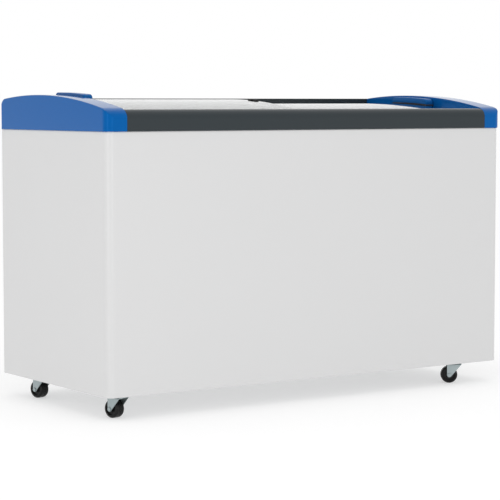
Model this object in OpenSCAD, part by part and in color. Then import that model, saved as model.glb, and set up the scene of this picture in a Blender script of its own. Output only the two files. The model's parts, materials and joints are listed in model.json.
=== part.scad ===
// Chest freezer with two curved sliding glass lids, on four swivel casters.
// Origin: on the floor under the middle of the footprint. +X runs along the length, from the left end
// to the right end, the front faces -Y, and +Z is up. Millimetres.

/* [Body] */
// Length of the painted body
body_l = 1360; // [1000:10:1800]
// Depth of the painted body
body_d = 600; // [500:10:720]
// How far the body's lower edge hangs below the base pan
hem_drop = 4; // [2:1:6]
// Height of the painted body
shell_h = 705; // [590:5:850]
// Thickness of the painted steel skin
skin_t = 0.8; // [0.5:0.1:1.5]
// Radius of the two front upright corners
corner_r = 20; // [12:1:26]
// Gap left between neighbouring sheets and panels
panel_gap = 0.5; // [0.3:0.1:1]
// Thickness of the base pan
pan_t = 1.5; // [1:0.1:3]

/* [Tub] */
// Distance from the body's outer face to the tub's inner face
wall_t = 60; // [50:1:72]
// Distance from the base pan to the tub's floor
floor_t = 65; // [50:1:80]
// Thickness of the tub's sheet
liner_t = 1; // [0.6:0.1:1.5]
// Radius of the tub's upright corners
tub_r = 25; // [15:1:40]
// Length of the step in the tub over the compressor
step_l = 250; // [230:5:320]
// Height of the step above the tub's floor
step_h = 230; // [215:5:300]
// Width of the tub's flange on the insulation
flange_w = 16; // [10:1:24]
// Thickness of the breaker trim inside the tub's mouth
trim_t = 3; // [2:0.5:5]
// Height of the breaker trim below the body's top
trim_drop = 27; // [20:1:40]
// Height of the breaker trim above the body's top
trim_rise = 17; // [10:1:20]

/* [End caps and rails] */
// How far caps and rails stand out past the body
overhang = 3; // [2:0.5:6]
// Length of an end cap along the freezer, measured from the body's end
cap_l = 60; // [50:1:72]
// Radius of an end cap's outer front corner
cap_r = 22; // [14:1:30]
// Wall of an end cap
cap_t = 3; // [2:0.5:4]
// Height of the flat front face of rails and caps
face_h = 33; // [28:1:44]
// Depth of the rounded nose above the front face
nose_d = 28; // [24:1:34]
// Height of the front rail's rounded nose
nose_h = 25; // [14:1:26]
// Radius of the caps' arched top
crown_r = 1850; // [1600:10:2200]
// Height of the arch's peak above the body's top
crown_h = 97; // [95:1:112]
// Distance of the arch's peak behind the body's front face
crown_back = 385; // [330:1:400]
// Radius of the rounding at the top of the back
heel_r = 25; // [15:1:30]
// Wall of the hollow rails
rail_t = 3; // [2:0.5:4]
// Width of each lid's ledge in the rails
ledge_w = 12.5; // [12:0.5:14]

/* [Lids] */
// Thickness of the curved glass
glass_t = 4; // [3:0.5:5]
// Drop from the caps' arch to the upper (left) lid's top face
upper_drop = 12; // [9:0.5:14]
// Drop from the upper lid's top face to the lower (right) lid's top face
lid_step = 12; // [11:0.5:16]
// Where the upper lid's inner edge is, measured from the tub's left face
upper_l = 590; // [420:1:760]
// Overlap of the closed lids
lid_overlap = 22; // [15:1:40]
// Gap between a lid's end and the end cap
side_gap = 2; // [1:0.5:4]
// Gap between a lid's front or rear edge and its rail
edge_gap = 2; // [1:0.5:3]
// Width of the runner strips under the glass
runner_w = 9; // [6:0.5:9]
// Height of the runner strips
runner_h = 8; // [6:0.5:10]
// Sliding gap under the runners
slide_gap = 0.4; // [0.3:0.1:1]
// Glue line between the glass and what it carries
glue = 0.3; // [0.2:0.1:0.5]
// Width of a handle along the freezer
handle_w = 28; // [24:1:50]
// Length of a handle from front to back
handle_l = 165; // [130:1:220]
// Height of a handle above the glass
handle_h = 19; // [14:1:24]
// Radius of a handle's rounded ends
handle_r = 12; // [6:1:14]
// Distance of a handle's middle behind the body's front face
handle_back = 316; // [290:1:330]
// Length of one bumper pad
pad_l = 16; // [10:1:20]
// Gap between the two bumper pads
pad_gap = 8; // [4:1:12]
// Distance of the bumper's middle behind the body's front face
pad_back = 270; // [240:1:320]
// Width of the brush seal between the lids
brush_w = 6; // [4:0.5:10]
// Gap left where a lid meets its stop
stop_gap = 1; // [0.5:0.5:3]

/* [Casters] */
// Diameter of a caster's wheel
wheel_d = 50; // [40:1:50]
// Width of a caster's wheel
wheel_w = 30; // [20:1:32]
// Distance from the swivel axis to the wheel's axle
trail = 22; // [16:1:26]
// Radius of the caster's axle
axle_r = 4; // [3:0.5:5]
// Radial clearance of turning fits
turn_gap = 0.05; // [0.03:0.01:0.08]
// Thickness of the fork's steel
fork_t = 2; // [1.5:0.1:3]
// Radius of the boss round the axle
boss_r = 7; // [6:0.5:9]
// Radius of the swivel pin
pin_r = 5; // [4:0.5:6]
// Side of the square mounting plate
plate_s = 62; // [58:1:70]
// Thickness of the mounting plate
plate_t = 2.5; // [2:0.1:4]
// Spacing of the mounting plate's holes
bolt_s = 45; // [42:1:50]
// Radius of the caster bolts
bolt_r = 3; // [2.5:0.5:4]
// Height between the mounting plate's top and the wheel's top
fork_rise = 16; // [15:1:20]
// Distance of the left swivel axes from the body's left end
swivel_left = 58; // [50:1:120]
// Distance of the right swivel axes from the body's right end
swivel_right = 129; // [50:1:160]
// Distance of the front swivel axes behind the body's front face
swivel_front = 38; // [36:1:80]
// Distance of the rear swivel axes behind the body's front face
swivel_rear = 463; // [400:1:550]

/* [Cooling] */
// Diameter of the compressor's steel shell
comp_d = 150; // [120:1:165]
// Height of the compressor's steel shell
comp_h = 150; // [120:1:160]
// Height of the rubber grommets below the compressor's tray
grommet_h = 10; // [6:1:14]
// Width of the flattened evaporator tube
evap_w = 9; // [6:0.5:12]
// Thickness of the flattened evaporator tube
evap_t = 5; // [3:0.5:7]
// Spacing of the evaporator's turns
evap_pitch = 48; // [36:1:50]
// Width of the flattened condenser tube
cond_w = 7; // [5:0.5:10]
// Thickness of the flattened condenser tube
cond_t = 4; // [3:0.5:6]
// Spacing of the condenser's turns
cond_pitch = 62; // [48:1:64]
// Number of turns in each coil
coil_turns = 6; // [3:1:6]
// Length of the louvred grille in the right side
side_grille_l = 300; // [220:5:320]
// Height of both louvred grilles
grille_h = 165; // [130:5:175]
// Length of the louvred grille in the back
rear_grille_l = 170; // [140:5:180]
// Height of the grilles' lower edge above the base pan
grille_rise = 28; // [20:1:34]
// Number of slats in a grille
slat_count = 9; // [5:1:10]
// Radius of the thermostat's recessed cup
cup_r = 24; // [20:1:28]
// Depth of the thermostat's cup
cup_depth = 20; // [16:1:26]
// Radius of the thermostat's knob
knob_r = 17; // [12:1:18]
// Radius of the drain spout
drain_r = 10; // [8:0.5:12]
// Wall of the drain spout
drain_t = 2; // [1.5:0.5:2.5]
// Length of the drain spout below the base pan
drain_drop = 22; // [15:1:30]
// Distance of the drain from the tub's left face
drain_in = 70; // [50:1:120]

/* [Hidden] */

// Overrun of a cut past the face that it opens
eps = 1;
// Straight pieces in a small arc and in the arched top
arc_steps = 8;
crown_steps = 24;

// Main levels and faces
pan_z = wheel_d + fork_rise;
shell_z = pan_z - hem_drop;
body_top = shell_z + shell_h;
front_y = -body_d / 2;
back_y = body_d / 2;
pan_top = pan_z + pan_t;
foam_bottom = pan_top;
tub_floor = pan_top + floor_t;
tub_x = body_l / 2 - wall_t;
tub_y = body_d / 2 - wall_t;
step_x = tub_x - step_l;
step_top = tub_floor + step_h;
flange_z = body_top - liner_t;
foam_top = flange_z;
skin_in = skin_t + panel_gap;

evap_top = body_top - 70;
cond_top = body_top - 40;

// Compressor's bay, under the tub's step
bay_x = step_x + wall_t;
bay_y = -tub_y;
bay_top = step_top - wall_t;
bay_right = body_l / 2 - skin_t;
lining_t = 0.8;
comp_x = bay_x + 125;
comp_y = front_y + 240;
tray_z = pan_top + grommet_h;
tray_t = 2.5;
comp_z = tray_z + tray_t;
tray_l = 200;
tray_w = 130;
foot_x = 82;
foot_y = 48;
grommet_r = 9;
neck_r = 6;
stud_r = 3;
stud_h = grommet_h + tray_t + 12;

// Arch that the caps, the rear rail and the lids share
crown_y = front_y + crown_back;
crown_z = body_top + crown_h - crown_r;
upper_r = crown_r - upper_drop;
lower_r = upper_r - lid_step;
nose_z = body_top + face_h;
lip_front = front_y - overhang + nose_d;
lip_rear = back_y - nose_d;
rail_front = -tub_y - 2;
rail_rear = tub_y + 2;
cap_in = body_l / 2 - cap_l;

// Lids along the length
lid_x0 = -cap_in + side_gap;
lid_x1 = cap_in - side_gap;
upper_x1 = upper_l - tub_x;
lower_x0 = upper_x1 - lid_overlap;
handle_y = front_y + handle_back;
pad_y = front_y + pad_back;
pad_out = 3.5;
pad_h = 4;
pad_in = 8;
// How far the left lid slides to the right, and the right lid to the left
left_travel = lid_x1 - handle_w - side_gap - (upper_x1 + pad_out) - stop_gap;
right_travel = lower_x0 - lid_x0;
echo(left_travel = left_travel, right_travel = right_travel);

// Casters
fork_top = pan_z - plate_t - 5;
crown_low = fork_top - fork_t - 0.5;
race_r = 19;
fork_in = wheel_w / 2 + 2;
fork_out = fork_in + fork_t;
block_s = plate_s + 8;
block_h = 12;
caster_names = ["front_left", "front_right", "rear_left", "rear_right"];
caster_xy = [
    [-body_l / 2 + swivel_left, front_y + swivel_front],
    [body_l / 2 - swivel_right, front_y + swivel_front],
    [-body_l / 2 + swivel_left, front_y + swivel_rear],
    [body_l / 2 - swivel_right, front_y + swivel_rear]
];
// Direction of each caster's trail, in degrees from +X
caster_turn = [105, 145, 105, 93];

// Small parts
grille_t = 3;
slat_t = 2;
frame_w = 12;
screw_r = 2;
screw_l = 12;
grille_z = pan_top + grille_rise;
rear_grille_x = bay_x + 25 + rear_grille_l / 2;
cup_y = back_y - 62;
cup_z = pan_top + 150;
cup_t = 2;
cup_lip = 4;
side_grille_y = (bay_y + cup_y - cup_r - cup_lip) / 2;
shaft_r = 3;
lamp_r = 6;
lamp_z = cup_z - 60;
gland_x = rear_grille_x + rear_grille_l / 2 + 22;
gland_z = pan_top + 45;
gland_r = 12;
drain_x = -tub_x + drain_in;
drain_flange = 18;
plug_l = 14;

// Points along an arc about c, from angle a0 to a1
function arc(c, r, a0, a1, n = arc_steps) =
    [for (i = [0:n]) c + r * [cos(a0 + (a1 - a0) * i / n), sin(a0 + (a1 - a0) * i / n)]];

// Height of a cylinder of radius r about the arch's axis, at y
function arch_z(r, y) = crown_z + sqrt(r * r - pow(y - crown_y, 2));

// Quarter of an ellipse that rises from a to b, upright at a and level at b
function nose(a, b, n = arc_steps) =
    [for (i = [0:n]) [b.x - (b.x - a.x) * cos(90 * i / n), a.y + (b.y - a.y) * sin(90 * i / n)]];

// Where a line from p touches a circle, on side s
function touch(p, c, r, s) =
    let (d = c - p, a = atan2(d.y, d.x) + 180 + s * acos(r / norm(d))) c + r * [cos(a), sin(a)];

// Outline of an end cap seen from the side (y, z), drawn in by o all round but at its open bottom
function cap_outline(o) =
    let (
        front = front_y - overhang + o,
        back = back_y - o,
        r = crown_r - o,
        heel = heel_r - o,
        heel_y = back_y - heel_r,
        heel_z = crown_z + sqrt(pow(crown_r - heel_r, 2) - pow(heel_y - crown_y, 2)),
        a0 = atan2(arch_z(r, lip_front) - crown_z, lip_front - crown_y),
        a1 = atan2(heel_z - crown_z, heel_y - crown_y)
    )
    concat(
        [[front, body_top]],
        nose([front, nose_z], [lip_front, arch_z(r, lip_front)]),
        [for (i = [1:crown_steps - 1]) let (a = a0 + (a1 - a0) * i / crown_steps)
            [crown_y, crown_z] + r * [cos(a), sin(a)]],
        arc([heel_y, heel_z], heel, a1, 0),
        [[back, body_top]]
    );

// Ledge height for a lid of top radius r whose edge is at y
function ledge(r, y) = arch_z(r - glass_t, y) - runner_h - slide_gap;

// The two steps inside a rail, from its lip down to its inner face. s is 1 at the front, -1 at the rear
function rail_steps(lip, inner, s, o) =
    let (
        up = ledge(upper_r, lip + s * edge_gap),
        low = ledge(lower_r, lip + s * (ledge_w + edge_gap))
    )
    [
        [lip - s * o, up - o],
        [lip + s * (ledge_w - o), up - o],
        [lip + s * (ledge_w - o), low - o],
        [inner - s * o, low - o],
        [inner - s * o, body_top + o]
    ];

// Rounded rectangle in plan, l long and d deep
function rounded(l, d, r) =
    concat(
        arc([l / 2 - r, d / 2 - r], r, 0, 90),
        arc([-l / 2 + r, d / 2 - r], r, 90, 180),
        arc([-l / 2 + r, -d / 2 + r], r, 180, 270),
        arc([l / 2 - r, -d / 2 + r], r, 270, 360)
    );

// Body in plan, drawn in by o, with round front corners and its back at y
function body_plan(o, y) =
    concat(
        [[body_l / 2 - o, y], [-body_l / 2 + o, y]],
        arc([-body_l / 2 + corner_r, front_y + corner_r], corner_r - o, 180, 270),
        arc([body_l / 2 - corner_r, front_y + corner_r], corner_r - o, 270, 360)
    );

// Extrudes an outline drawn in (y, z) from x0 to x1
module along_x(x0, x1) {
    translate([x0, 0, 0]) rotate([90, 0, 90]) linear_extrude(height = x1 - x0) children();
}

module slab(plan, z0, z1) {
    translate([0, 0, z0]) linear_extrude(height = z1 - z0) polygon(plan);
}

module box(p, q) {
    translate(p) cube(q - p);
}

// The tub's inside, grown by g, with the step over the compressor left out
module tub_space(g, top) {
    difference() {
        slab(rounded(2 * tub_x + 2 * g, 2 * tub_y + 2 * g, tub_r + g), tub_floor - g, top);
        box([step_x + g, -tub_y - 2 * g - eps, tub_floor - g - eps],
            [tub_x + 2 * g + eps, tub_y + 2 * g + eps, step_top - g]);
    }
}

module at_casters() {
    for (p = caster_xy) translate([p.x, p.y, 0]) children();
}

module at_plate_holes() {
    for (x = [-1, 1], y = [-1, 1]) translate([x * bolt_s / 2, y * bolt_s / 2, 0]) children();
}

// Openings in the skin behind the grilles' slats
module side_grille_hole() {
    half = side_grille_l / 2 - frame_w;
    box([body_l / 2 - skin_t - eps, side_grille_y - half, grille_z + frame_w],
        [body_l / 2 + eps, side_grille_y + half, grille_z + grille_h - frame_w]);
}

module rear_grille_hole() {
    half = rear_grille_l / 2 - frame_w;
    box([rear_grille_x - half, back_y - skin_t - eps, grille_z + frame_w],
        [rear_grille_x + half, back_y + eps, grille_z + grille_h - frame_w]);
}

// A round bar along +X from x0 to x1
module x_bar(r, x0, x1, fn = 48) {
    translate([x0, 0, 0]) rotate([0, 90, 0]) cylinder(r = r, h = x1 - x0, $fn = fn);
}

module outer_shell() {
    color("#dcdcdc") difference() {
        slab(body_plan(0, back_y), shell_z, body_top);
        slab(body_plan(skin_t, back_y + eps), shell_z - eps, body_top + eps);
        side_grille_hole();
        at_side_grille() at_screws(side_grille_l) screw_hole();
        translate([0, cup_y, cup_z]) x_bar(cup_r + panel_gap, body_l / 2 - 2 * eps, body_l / 2 + eps);
        translate([0, cup_y, lamp_z]) x_bar(lamp_r + panel_gap, body_l / 2 - 2 * eps, body_l / 2 + eps);
    }
}

module back_panel() {
    color("#c8c8c8") difference() {
        box([-body_l / 2 + skin_in, back_y - skin_t, shell_z], [body_l / 2 - skin_in, back_y, body_top]);
        rear_grille_hole();
        at_rear_grille() at_screws(rear_grille_l) screw_hole();
        translate([gland_x, back_y + eps, gland_z]) rotate([90, 0, 0]) cylinder(r = 8, h = 3 * eps, $fn = 48);
    }
}

module base_pan() {
    color("#9a9c9e") difference() {
        slab(body_plan(skin_in, back_y - skin_in), pan_z, pan_top);
        at_casters() at_plate_holes() translate([0, 0, pan_z - eps])
            cylinder(r = bolt_r + turn_gap, h = pan_t + 2 * eps, $fn = 48);
        translate([drain_x, 0, pan_z - eps]) cylinder(r = drain_r + panel_gap, h = pan_t + 2 * eps, $fn = 48);
    }
}

module inner_liner() {
    flange = rounded(2 * (tub_x + flange_w), 2 * (tub_y + flange_w), tub_r + flange_w);
    color("#f2f2f0") difference() {
        union() {
            tub_space(liner_t, body_top);
            slab(flange, flange_z, body_top);
        }
        tub_space(0, body_top + eps);
        translate([drain_x, 0, tub_floor - liner_t - eps])
            cylinder(r = drain_r + panel_gap, h = liner_t + 2 * eps, $fn = 48);
    }
}

// Ring-shaped grooves or tubes of a coil, between two outlines, one at each turn
module coil_rings(outer, inner, w, pitch, top) {
    for (i = [0:coil_turns - 1]) translate([0, 0, top - i * pitch - w / 2]) linear_extrude(height = w)
        difference() {
            polygon(outer);
            polygon(inner);
        }
}

// Tub in plan, grown by g past the liner
function tub_plan(g) =
    rounded(2 * (tub_x + liner_t + g), 2 * (tub_y + liner_t + g), tub_r + liner_t + g);

// Body in plan, drawn in by g from the inside of the skin
function skin_plan(g) = body_plan(skin_in + g, back_y - skin_in - g);

module foam_insulation() {
    color("#e8dcae") difference() {
        slab(body_plan(skin_in, back_y - skin_in), foam_bottom, foam_top);
        tub_space(liner_t + panel_gap, foam_top + eps);
        box([bay_x, bay_y, foam_bottom - eps], [body_l / 2, back_y, bay_top]);
        at_casters() box([-block_s / 2 - panel_gap, -block_s / 2 - panel_gap, foam_bottom - eps],
            [block_s / 2 + panel_gap, block_s / 2 + panel_gap, foam_bottom + block_h + panel_gap]);
        translate([drain_x, 0, foam_bottom - eps])
            cylinder(r = drain_r + panel_gap, h = floor_t + 2 * eps, $fn = 48);
        evaporator(panel_gap);
        condenser(panel_gap);
    }
}

// Evaporator tube against the liner, grown by g into the insulation
module evaporator(g) {
    y0 = tub_y + liner_t + panel_gap;
    inner = tub_plan(panel_gap - g / 5);
    outer = tub_plan(panel_gap + evap_t + g);
    coil_rings(outer, inner, evap_w + 2 * g, evap_pitch, evap_top);
    coil_risers(evap_w, g, evap_pitch, evap_top, y0 - g / 5, evap_t + 1.2 * g);
}

// Condenser tube against the skin, grown by g into the insulation
module condenser(g) {
    y1 = back_y - skin_in;
    inner = skin_plan(cond_t + g);
    outer = skin_plan(-g / 5);
    coil_rings(outer, inner, cond_w + 2 * g, cond_pitch, cond_top);
    coil_risers(cond_w, g, cond_pitch, cond_top, y1 - cond_t - g, cond_t + 1.2 * g);
}

// Short uprights that join each turn of a coil to the next, at alternate places along the back,
// w wide and grown by g each side
module coil_risers(w, g, pitch, top, y0, t) {
    for (i = [0:coil_turns - 2]) translate([(i % 2) * 2 * w - w / 2 - g, y0, top - (i + 1) * pitch])
        cube([w + 2 * g, t, pitch]);
}

module evaporator_coil() {
    color("#b87333") evaporator(0);
}

module condenser_coil() {
    color("#7d7f82") condenser(0);
}

module breaker_trim() {
    low = body_top - trim_drop;
    high = body_top + trim_rise;
    color("#f4f4f4") difference() {
        slab(tub_plan(-liner_t - panel_gap), low, high);
        slab(tub_plan(-liner_t - panel_gap - trim_t), low - eps, high + eps);
    }
}

// Thin steel lining of the compressor's bay: left wall, front wall and ceiling
module compartment_lining() {
    g = panel_gap;
    color("#a8abad") difference() {
        box([bay_x + g, bay_y + g, pan_top], [bay_right - g, back_y - skin_in, bay_top - g]);
        box([bay_x + g + lining_t, bay_y + g + lining_t, pan_top - eps],
            [bay_right, back_y, bay_top - g - lining_t]);
        at_casters() box([-block_s / 2 - g, -block_s / 2 - g, pan_top - eps],
            [block_s / 2 + g, block_s / 2 + g, pan_top + block_h + g]);
    }
}

module caster_blocks() {
    color("#c9a26b") at_casters() difference() {
        box([-block_s / 2, -block_s / 2, pan_top], [block_s / 2, block_s / 2, pan_top + block_h]);
        at_plate_holes() translate([0, 0, pan_top - eps])
            cylinder(r = bolt_r + turn_gap, h = block_h + 2 * eps, $fn = 48);
    }
}

module compressor_shell() {
    r = comp_d / 2;
    seam_h = 5;
    port_l = 6;
    color("#1c1d1f") translate([comp_x, comp_y, comp_z]) {
        rotate_extrude($fn = 96) polygon(concat(
            [[0, 0]],
            arc([r - 22, 22], 22, -90, 0),
            [[r, comp_h / 2 - seam_h], [r + 4, comp_h / 2 - seam_h]],
            [[r + 4, comp_h / 2], [r - 1, comp_h / 2]],
            arc([r - 41, comp_h - 40], 40, 0, 90),
            [[0, comp_h]]
        ));
        translate([0, 0, 60]) rotate([0, -90, 0]) cylinder(r = 7, h = r + port_l, $fn = 32);
        translate([0, 0, 52]) rotate([-90, 0, 0]) cylinder(r = 6, h = r + port_l, $fn = 32);
    }
}

module at_feet() {
    for (x = [-1, 1], y = [-1, 1]) translate([comp_x + x * foot_x, comp_y + y * foot_y, 0]) children();
}

module compressor_tray() {
    color("#2a2b2d") difference() {
        translate([comp_x, comp_y, 0]) slab(rounded(tray_l, tray_w, 12), tray_z, comp_z);
        at_feet() translate([0, 0, tray_z - eps]) cylinder(r = neck_r + 0.2, h = tray_t + 2 * eps, $fn = 48);
    }
}

module compressor_grommets() {
    color("#151515") at_feet() difference() {
        translate([0, 0, pan_top]) rotate_extrude($fn = 48) polygon([
            [stud_r + 0.2, 0], [grommet_r, 0], [grommet_r, grommet_h], [neck_r, grommet_h],
            [neck_r, grommet_h + tray_t], [grommet_r - 1, grommet_h + tray_t],
            [grommet_r - 2, grommet_h + tray_t + 5], [stud_r + 0.2, grommet_h + tray_t + 5]
        ]);
    }
}

module compressor_bolts() {
    color("#b9bcc0") at_feet() translate([0, 0, pan_top]) {
        cylinder(r = stud_r, h = stud_h, $fn = 32);
        translate([0, 0, grommet_h + tray_t + 5]) cylinder(r = 8, h = 1.2, $fn = 48);
        translate([0, 0, grommet_h + tray_t + 6]) cylinder(r = 5.5, h = 5, $fn = 6);
    }
}

module start_relay_cover() {
    x0 = comp_x + comp_d / 2 + 5;
    color("#1a1a1a") box([x0, comp_y - 24, comp_z + 8], [x0 + 26, comp_y + 24, comp_z + 58]);
}

// A pipe through points, with a brazed collar at each bend
module pipe(points, r) {
    for (i = [0:len(points) - 2]) {
        a = points[i];
        d = points[i + 1] - a;
        translate(a) rotate([0, acos(d.z / norm(d)), atan2(d.y, d.x)]) cylinder(r = r, h = norm(d), $fn = 32);
        if (i > 0) translate(a) sphere(r = r + 0.8, $fn = 32);
    }
}

drier_x = bay_x + 40;
drier_y = comp_y + 180;
drier_low = pan_top + 40;
drier_len = 100;
wall_x = bay_x + panel_gap + lining_t + 0.3;

module filter_drier() {
    color("#b87333") {
        translate([drier_x, drier_y, drier_low]) rotate_extrude($fn = 48)
            polygon([[0, 0], [3, 0], [9, 12], [9, drier_len - 12], [3, drier_len], [0, drier_len]]);
        pipe([[wall_x, drier_y, drier_low - 20], [drier_x, drier_y, drier_low - 20],
            [drier_x, drier_y, drier_low + 2]], 2.5);
    }
}

module suction_line() {
    x0 = comp_x - comp_d / 2 - 6.3;
    color("#b87333") pipe([[x0, comp_y, comp_z + 60], [bay_x + 24, comp_y, comp_z + 60],
        [bay_x + 24, comp_y, comp_z + 120], [wall_x, comp_y, comp_z + 120]], 4);
}

module discharge_line() {
    y0 = comp_y + comp_d / 2 + 6.3;
    color("#b87333") pipe([[comp_x, y0, comp_z + 52], [comp_x, y0 + 34, comp_z + 52],
        [comp_x, y0 + 34, comp_z + 90], [wall_x, y0 + 34, comp_z + 90]], 3);
}

module capillary_tube() {
    top = drier_low + drier_len + 0.3;
    color("#b87333")
        pipe([[drier_x, drier_y, top], [drier_x, drier_y, top + 40], [wall_x, drier_y, top + 40]], 1.5);
}

// Places what is drawn at the four screws of a grille of length l, with +Z out of its face
module at_screws(l) {
    for (x = [frame_w / 2, l - frame_w / 2], z = [frame_w / 2, grille_h - frame_w / 2])
        translate([x, 0, z]) rotate([-90, 0, 0]) children();
}

module screw_hole() {
    cylinder(r = screw_r + 0.1, h = 2 * screw_l, center = true, $fn = 32);
}

// Louvred panel in its own frame: length along X, back at y = 0, lower left corner at the origin
module grille(l) {
    pitch = (grille_h - 2 * frame_w) / slat_count;
    difference() {
        cube([l, grille_t, grille_h]);
        for (i = [0:slat_count - 1]) translate([frame_w, -eps, frame_w + i * pitch + slat_t / 2])
            cube([l - 2 * frame_w, grille_t + 2 * eps, pitch - slat_t]);
        at_screws(l) screw_hole();
    }
}

// Places what is drawn in a grille's own frame
module at_side_grille() {
    translate([body_l / 2, side_grille_y + side_grille_l / 2, grille_z]) rotate([0, 0, -90]) children();
}

module at_rear_grille() {
    translate([rear_grille_x - rear_grille_l / 2, back_y, grille_z]) children();
}

module side_grille() {
    color("#3a3d40") at_side_grille() grille(side_grille_l);
}

module rear_grille() {
    color("#3a3d40") at_rear_grille() grille(rear_grille_l);
}

// Countersunk-flush screw with a hexagon socket, whose head ends at the grille's face
module grille_screw() {
    difference() {
        translate([0, 0, grille_t - screw_l]) cylinder(r = screw_r, h = screw_l, $fn = 32);
        translate([0, 0, grille_t - 1]) cylinder(r = 1.2, h = 2, $fn = 6);
    }
}

module grille_screws() {
    color("#c4c7ca") {
        at_side_grille() at_screws(side_grille_l) grille_screw();
        at_rear_grille() at_screws(rear_grille_l) grille_screw();
    }
}

// Cup in the right side that the knob sits in
module thermostat_cup() {
    face = body_l / 2;
    color("#2b2d30") translate([0, cup_y, cup_z]) difference() {
        union() {
            x_bar(cup_r, face - cup_depth, face + 0.2, 64);
            x_bar(cup_r + cup_lip, face + 0.2, face + 2, 64);
            translate([face - cup_depth - 22, -18, -18]) cube([22.1, 36, 36]);
        }
        x_bar(cup_r - cup_t, face - cup_depth + cup_t, face + 2 + eps, 64);
        x_bar(shaft_r + turn_gap, face - cup_depth - 12, face, 32);
    }
}

module thermostat_knob() {
    face = body_l / 2;
    color("#e9e9e7") translate([0, cup_y, cup_z]) difference() {
        union() {
            x_bar(shaft_r, face - cup_depth - 11, face - 4, 32);
            x_bar(knob_r, face - cup_depth + cup_t + 3, face + 1, 64);
        }
        translate([face - 5, -knob_r - eps, 3]) cube([7, 2 * knob_r + 2 * eps, knob_r]);
        translate([face - 5, -knob_r - eps, -3 - knob_r]) cube([7, 2 * knob_r + 2 * eps, knob_r]);
    }
}

module indicator_lamp() {
    face = body_l / 2;
    color("#39b54a") translate([0, cup_y, lamp_z]) {
        x_bar(lamp_r, face - 12, face + 0.2);
        x_bar(lamp_r + 2, face + 0.2, face + 2);
    }
}

// Grommet ring that a power cord would leave through
module cord_gland() {
    color("#151515") translate([gland_x, back_y, gland_z]) rotate([-90, 0, 0]) difference() {
        union() {
            translate([0, 0, -6]) cylinder(r = 7.8, h = 6.2, $fn = 48);
            cylinder(r = gland_r, h = 2.5, $fn = 48);
        }
        translate([0, 0, -7]) cylinder(r = 4, h = 12, $fn = 48);
    }
}

module drain_spout() {
    low = pan_z - drain_drop;
    seat = tub_floor + 0.2;
    color("#d9d9d6") translate([drain_x, 0, 0]) difference() {
        union() {
            translate([0, 0, low]) cylinder(r = drain_r, h = seat - low, $fn = 64);
            translate([0, 0, seat]) cylinder(r = drain_flange, h = 1.5, $fn = 64);
        }
        translate([0, 0, low - eps]) cylinder(r = drain_r - drain_t, h = seat - low + 4, $fn = 64);
    }
}

module drain_plug() {
    head = tub_floor + 2;
    stem_r = drain_r - drain_t - turn_gap;
    color("#1c1c1c") translate([drain_x, 0, 0]) {
        translate([0, 0, head - plug_l]) cylinder(r = stem_r, h = plug_l + 0.5, $fn = 64);
        translate([0, 0, head]) cylinder(r = drain_r + 2, h = 3, $fn = 64);
        translate([0, 0, head + 2.5]) rotate([90, 0, 0]) difference() {
            translate([0, 0, -1.5]) cylinder(r = 7, h = 3, $fn = 48);
            translate([0, 0, -3]) cylinder(r = 4.5, h = 6, $fn = 48);
            translate([-8, -8, -3]) cube([16, 8, 6]);
        }
    }
}

// Left end cap, from x = -body_l / 2 - overhang to -cap_in; the right one is its mirror image
module end_cap() {
    x0 = -body_l / 2 - overhang;
    x1 = -cap_in;
    back = back_y + eps;
    front = front_y - overhang;
    top = body_top + crown_h + eps;
    corner = [x0 + cap_r, front + cap_r];
    outer = concat([[x1, back], [x0, back]], arc(corner, cap_r, 180, 270), [[x1, front]]);
    inner = concat(
        [[x1, back], [x0 + cap_t, back]], arc(corner, cap_r - cap_t, 180, 270), [[x1, front + cap_t]]);
    hollow = concat(
        [[front + cap_t, body_top - eps]], cap_outline(cap_t), [[back_y - cap_t, body_top - eps]]);
    difference() {
        intersection() {
            along_x(x0, x1) polygon(cap_outline(0));
            slab(outer, body_top, top);
        }
        intersection() {
            along_x(x0 + cap_t, x1 - cap_t) polygon(hollow);
            slab(inner, body_top - 2 * eps, top);
        }
    }
}

module end_cap_left() {
    color("#2367ac") end_cap();
}

module end_cap_right() {
    color("#2367ac") mirror([1, 0, 0]) end_cap();
}

module front_rail() {
    front = front_y - overhang;
    lip_z = nose_z + nose_h;
    t = rail_t;
    color("#3f4649") along_x(-cap_in, cap_in) difference() {
        polygon(concat([[front, body_top]], nose([front, nose_z], [lip_front, lip_z]),
            rail_steps(lip_front, rail_front, 1, 0)));
        polygon(concat([[front + t, body_top + t]], nose([front + t, nose_z], [lip_front - t, lip_z - t]),
            rail_steps(lip_front, rail_front, 1, t)));
    }
}

// Rear rail's outline, drawn in by o
function rear_outline(o) =
    let (
        all = cap_outline(o),
        behind = [for (p = all) if (p.y > body_top && p.x > lip_rear + 1) p]
    )
    concat(
        [[lip_rear + o, arch_z(crown_r - o, lip_rear + o)]],
        behind,
        [[back_y - o, body_top + o]],
        [for (i = [4:-1:0]) rail_steps(lip_rear, rail_rear, -1, o)[i]]
    );

module rear_rail() {
    color("#3f4649") along_x(-cap_in, cap_in) difference() {
        polygon(rear_outline(0));
        polygon(rear_outline(rail_t));
    }
}

// Ring sector about the arch's axis between radii, cut to y0..y1
module arch_strip(r0, r1, y0, y1) {
    intersection() {
        translate([crown_y, crown_z]) difference() {
            circle(r = r1, $fn = 360);
            circle(r = r0, $fn = 360);
        }
        translate([y0, body_top]) square([y1 - y0, crown_h + 50]);
    }
}

// Edges of a lid of rank k: 0 is the upper one, 1 the lower one
function lid_y0(k) = lip_front + edge_gap + k * ledge_w;
function lid_y1(k) = lip_rear - edge_gap - k * ledge_w;
function lid_r(k) = k == 0 ? upper_r : lower_r;

module lid_glass(k, x0, x1) {
    color("#cfe0dc", 0.5) along_x(x0, x1) arch_strip(lid_r(k) - glass_t, lid_r(k), lid_y0(k), lid_y1(k));
}

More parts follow.
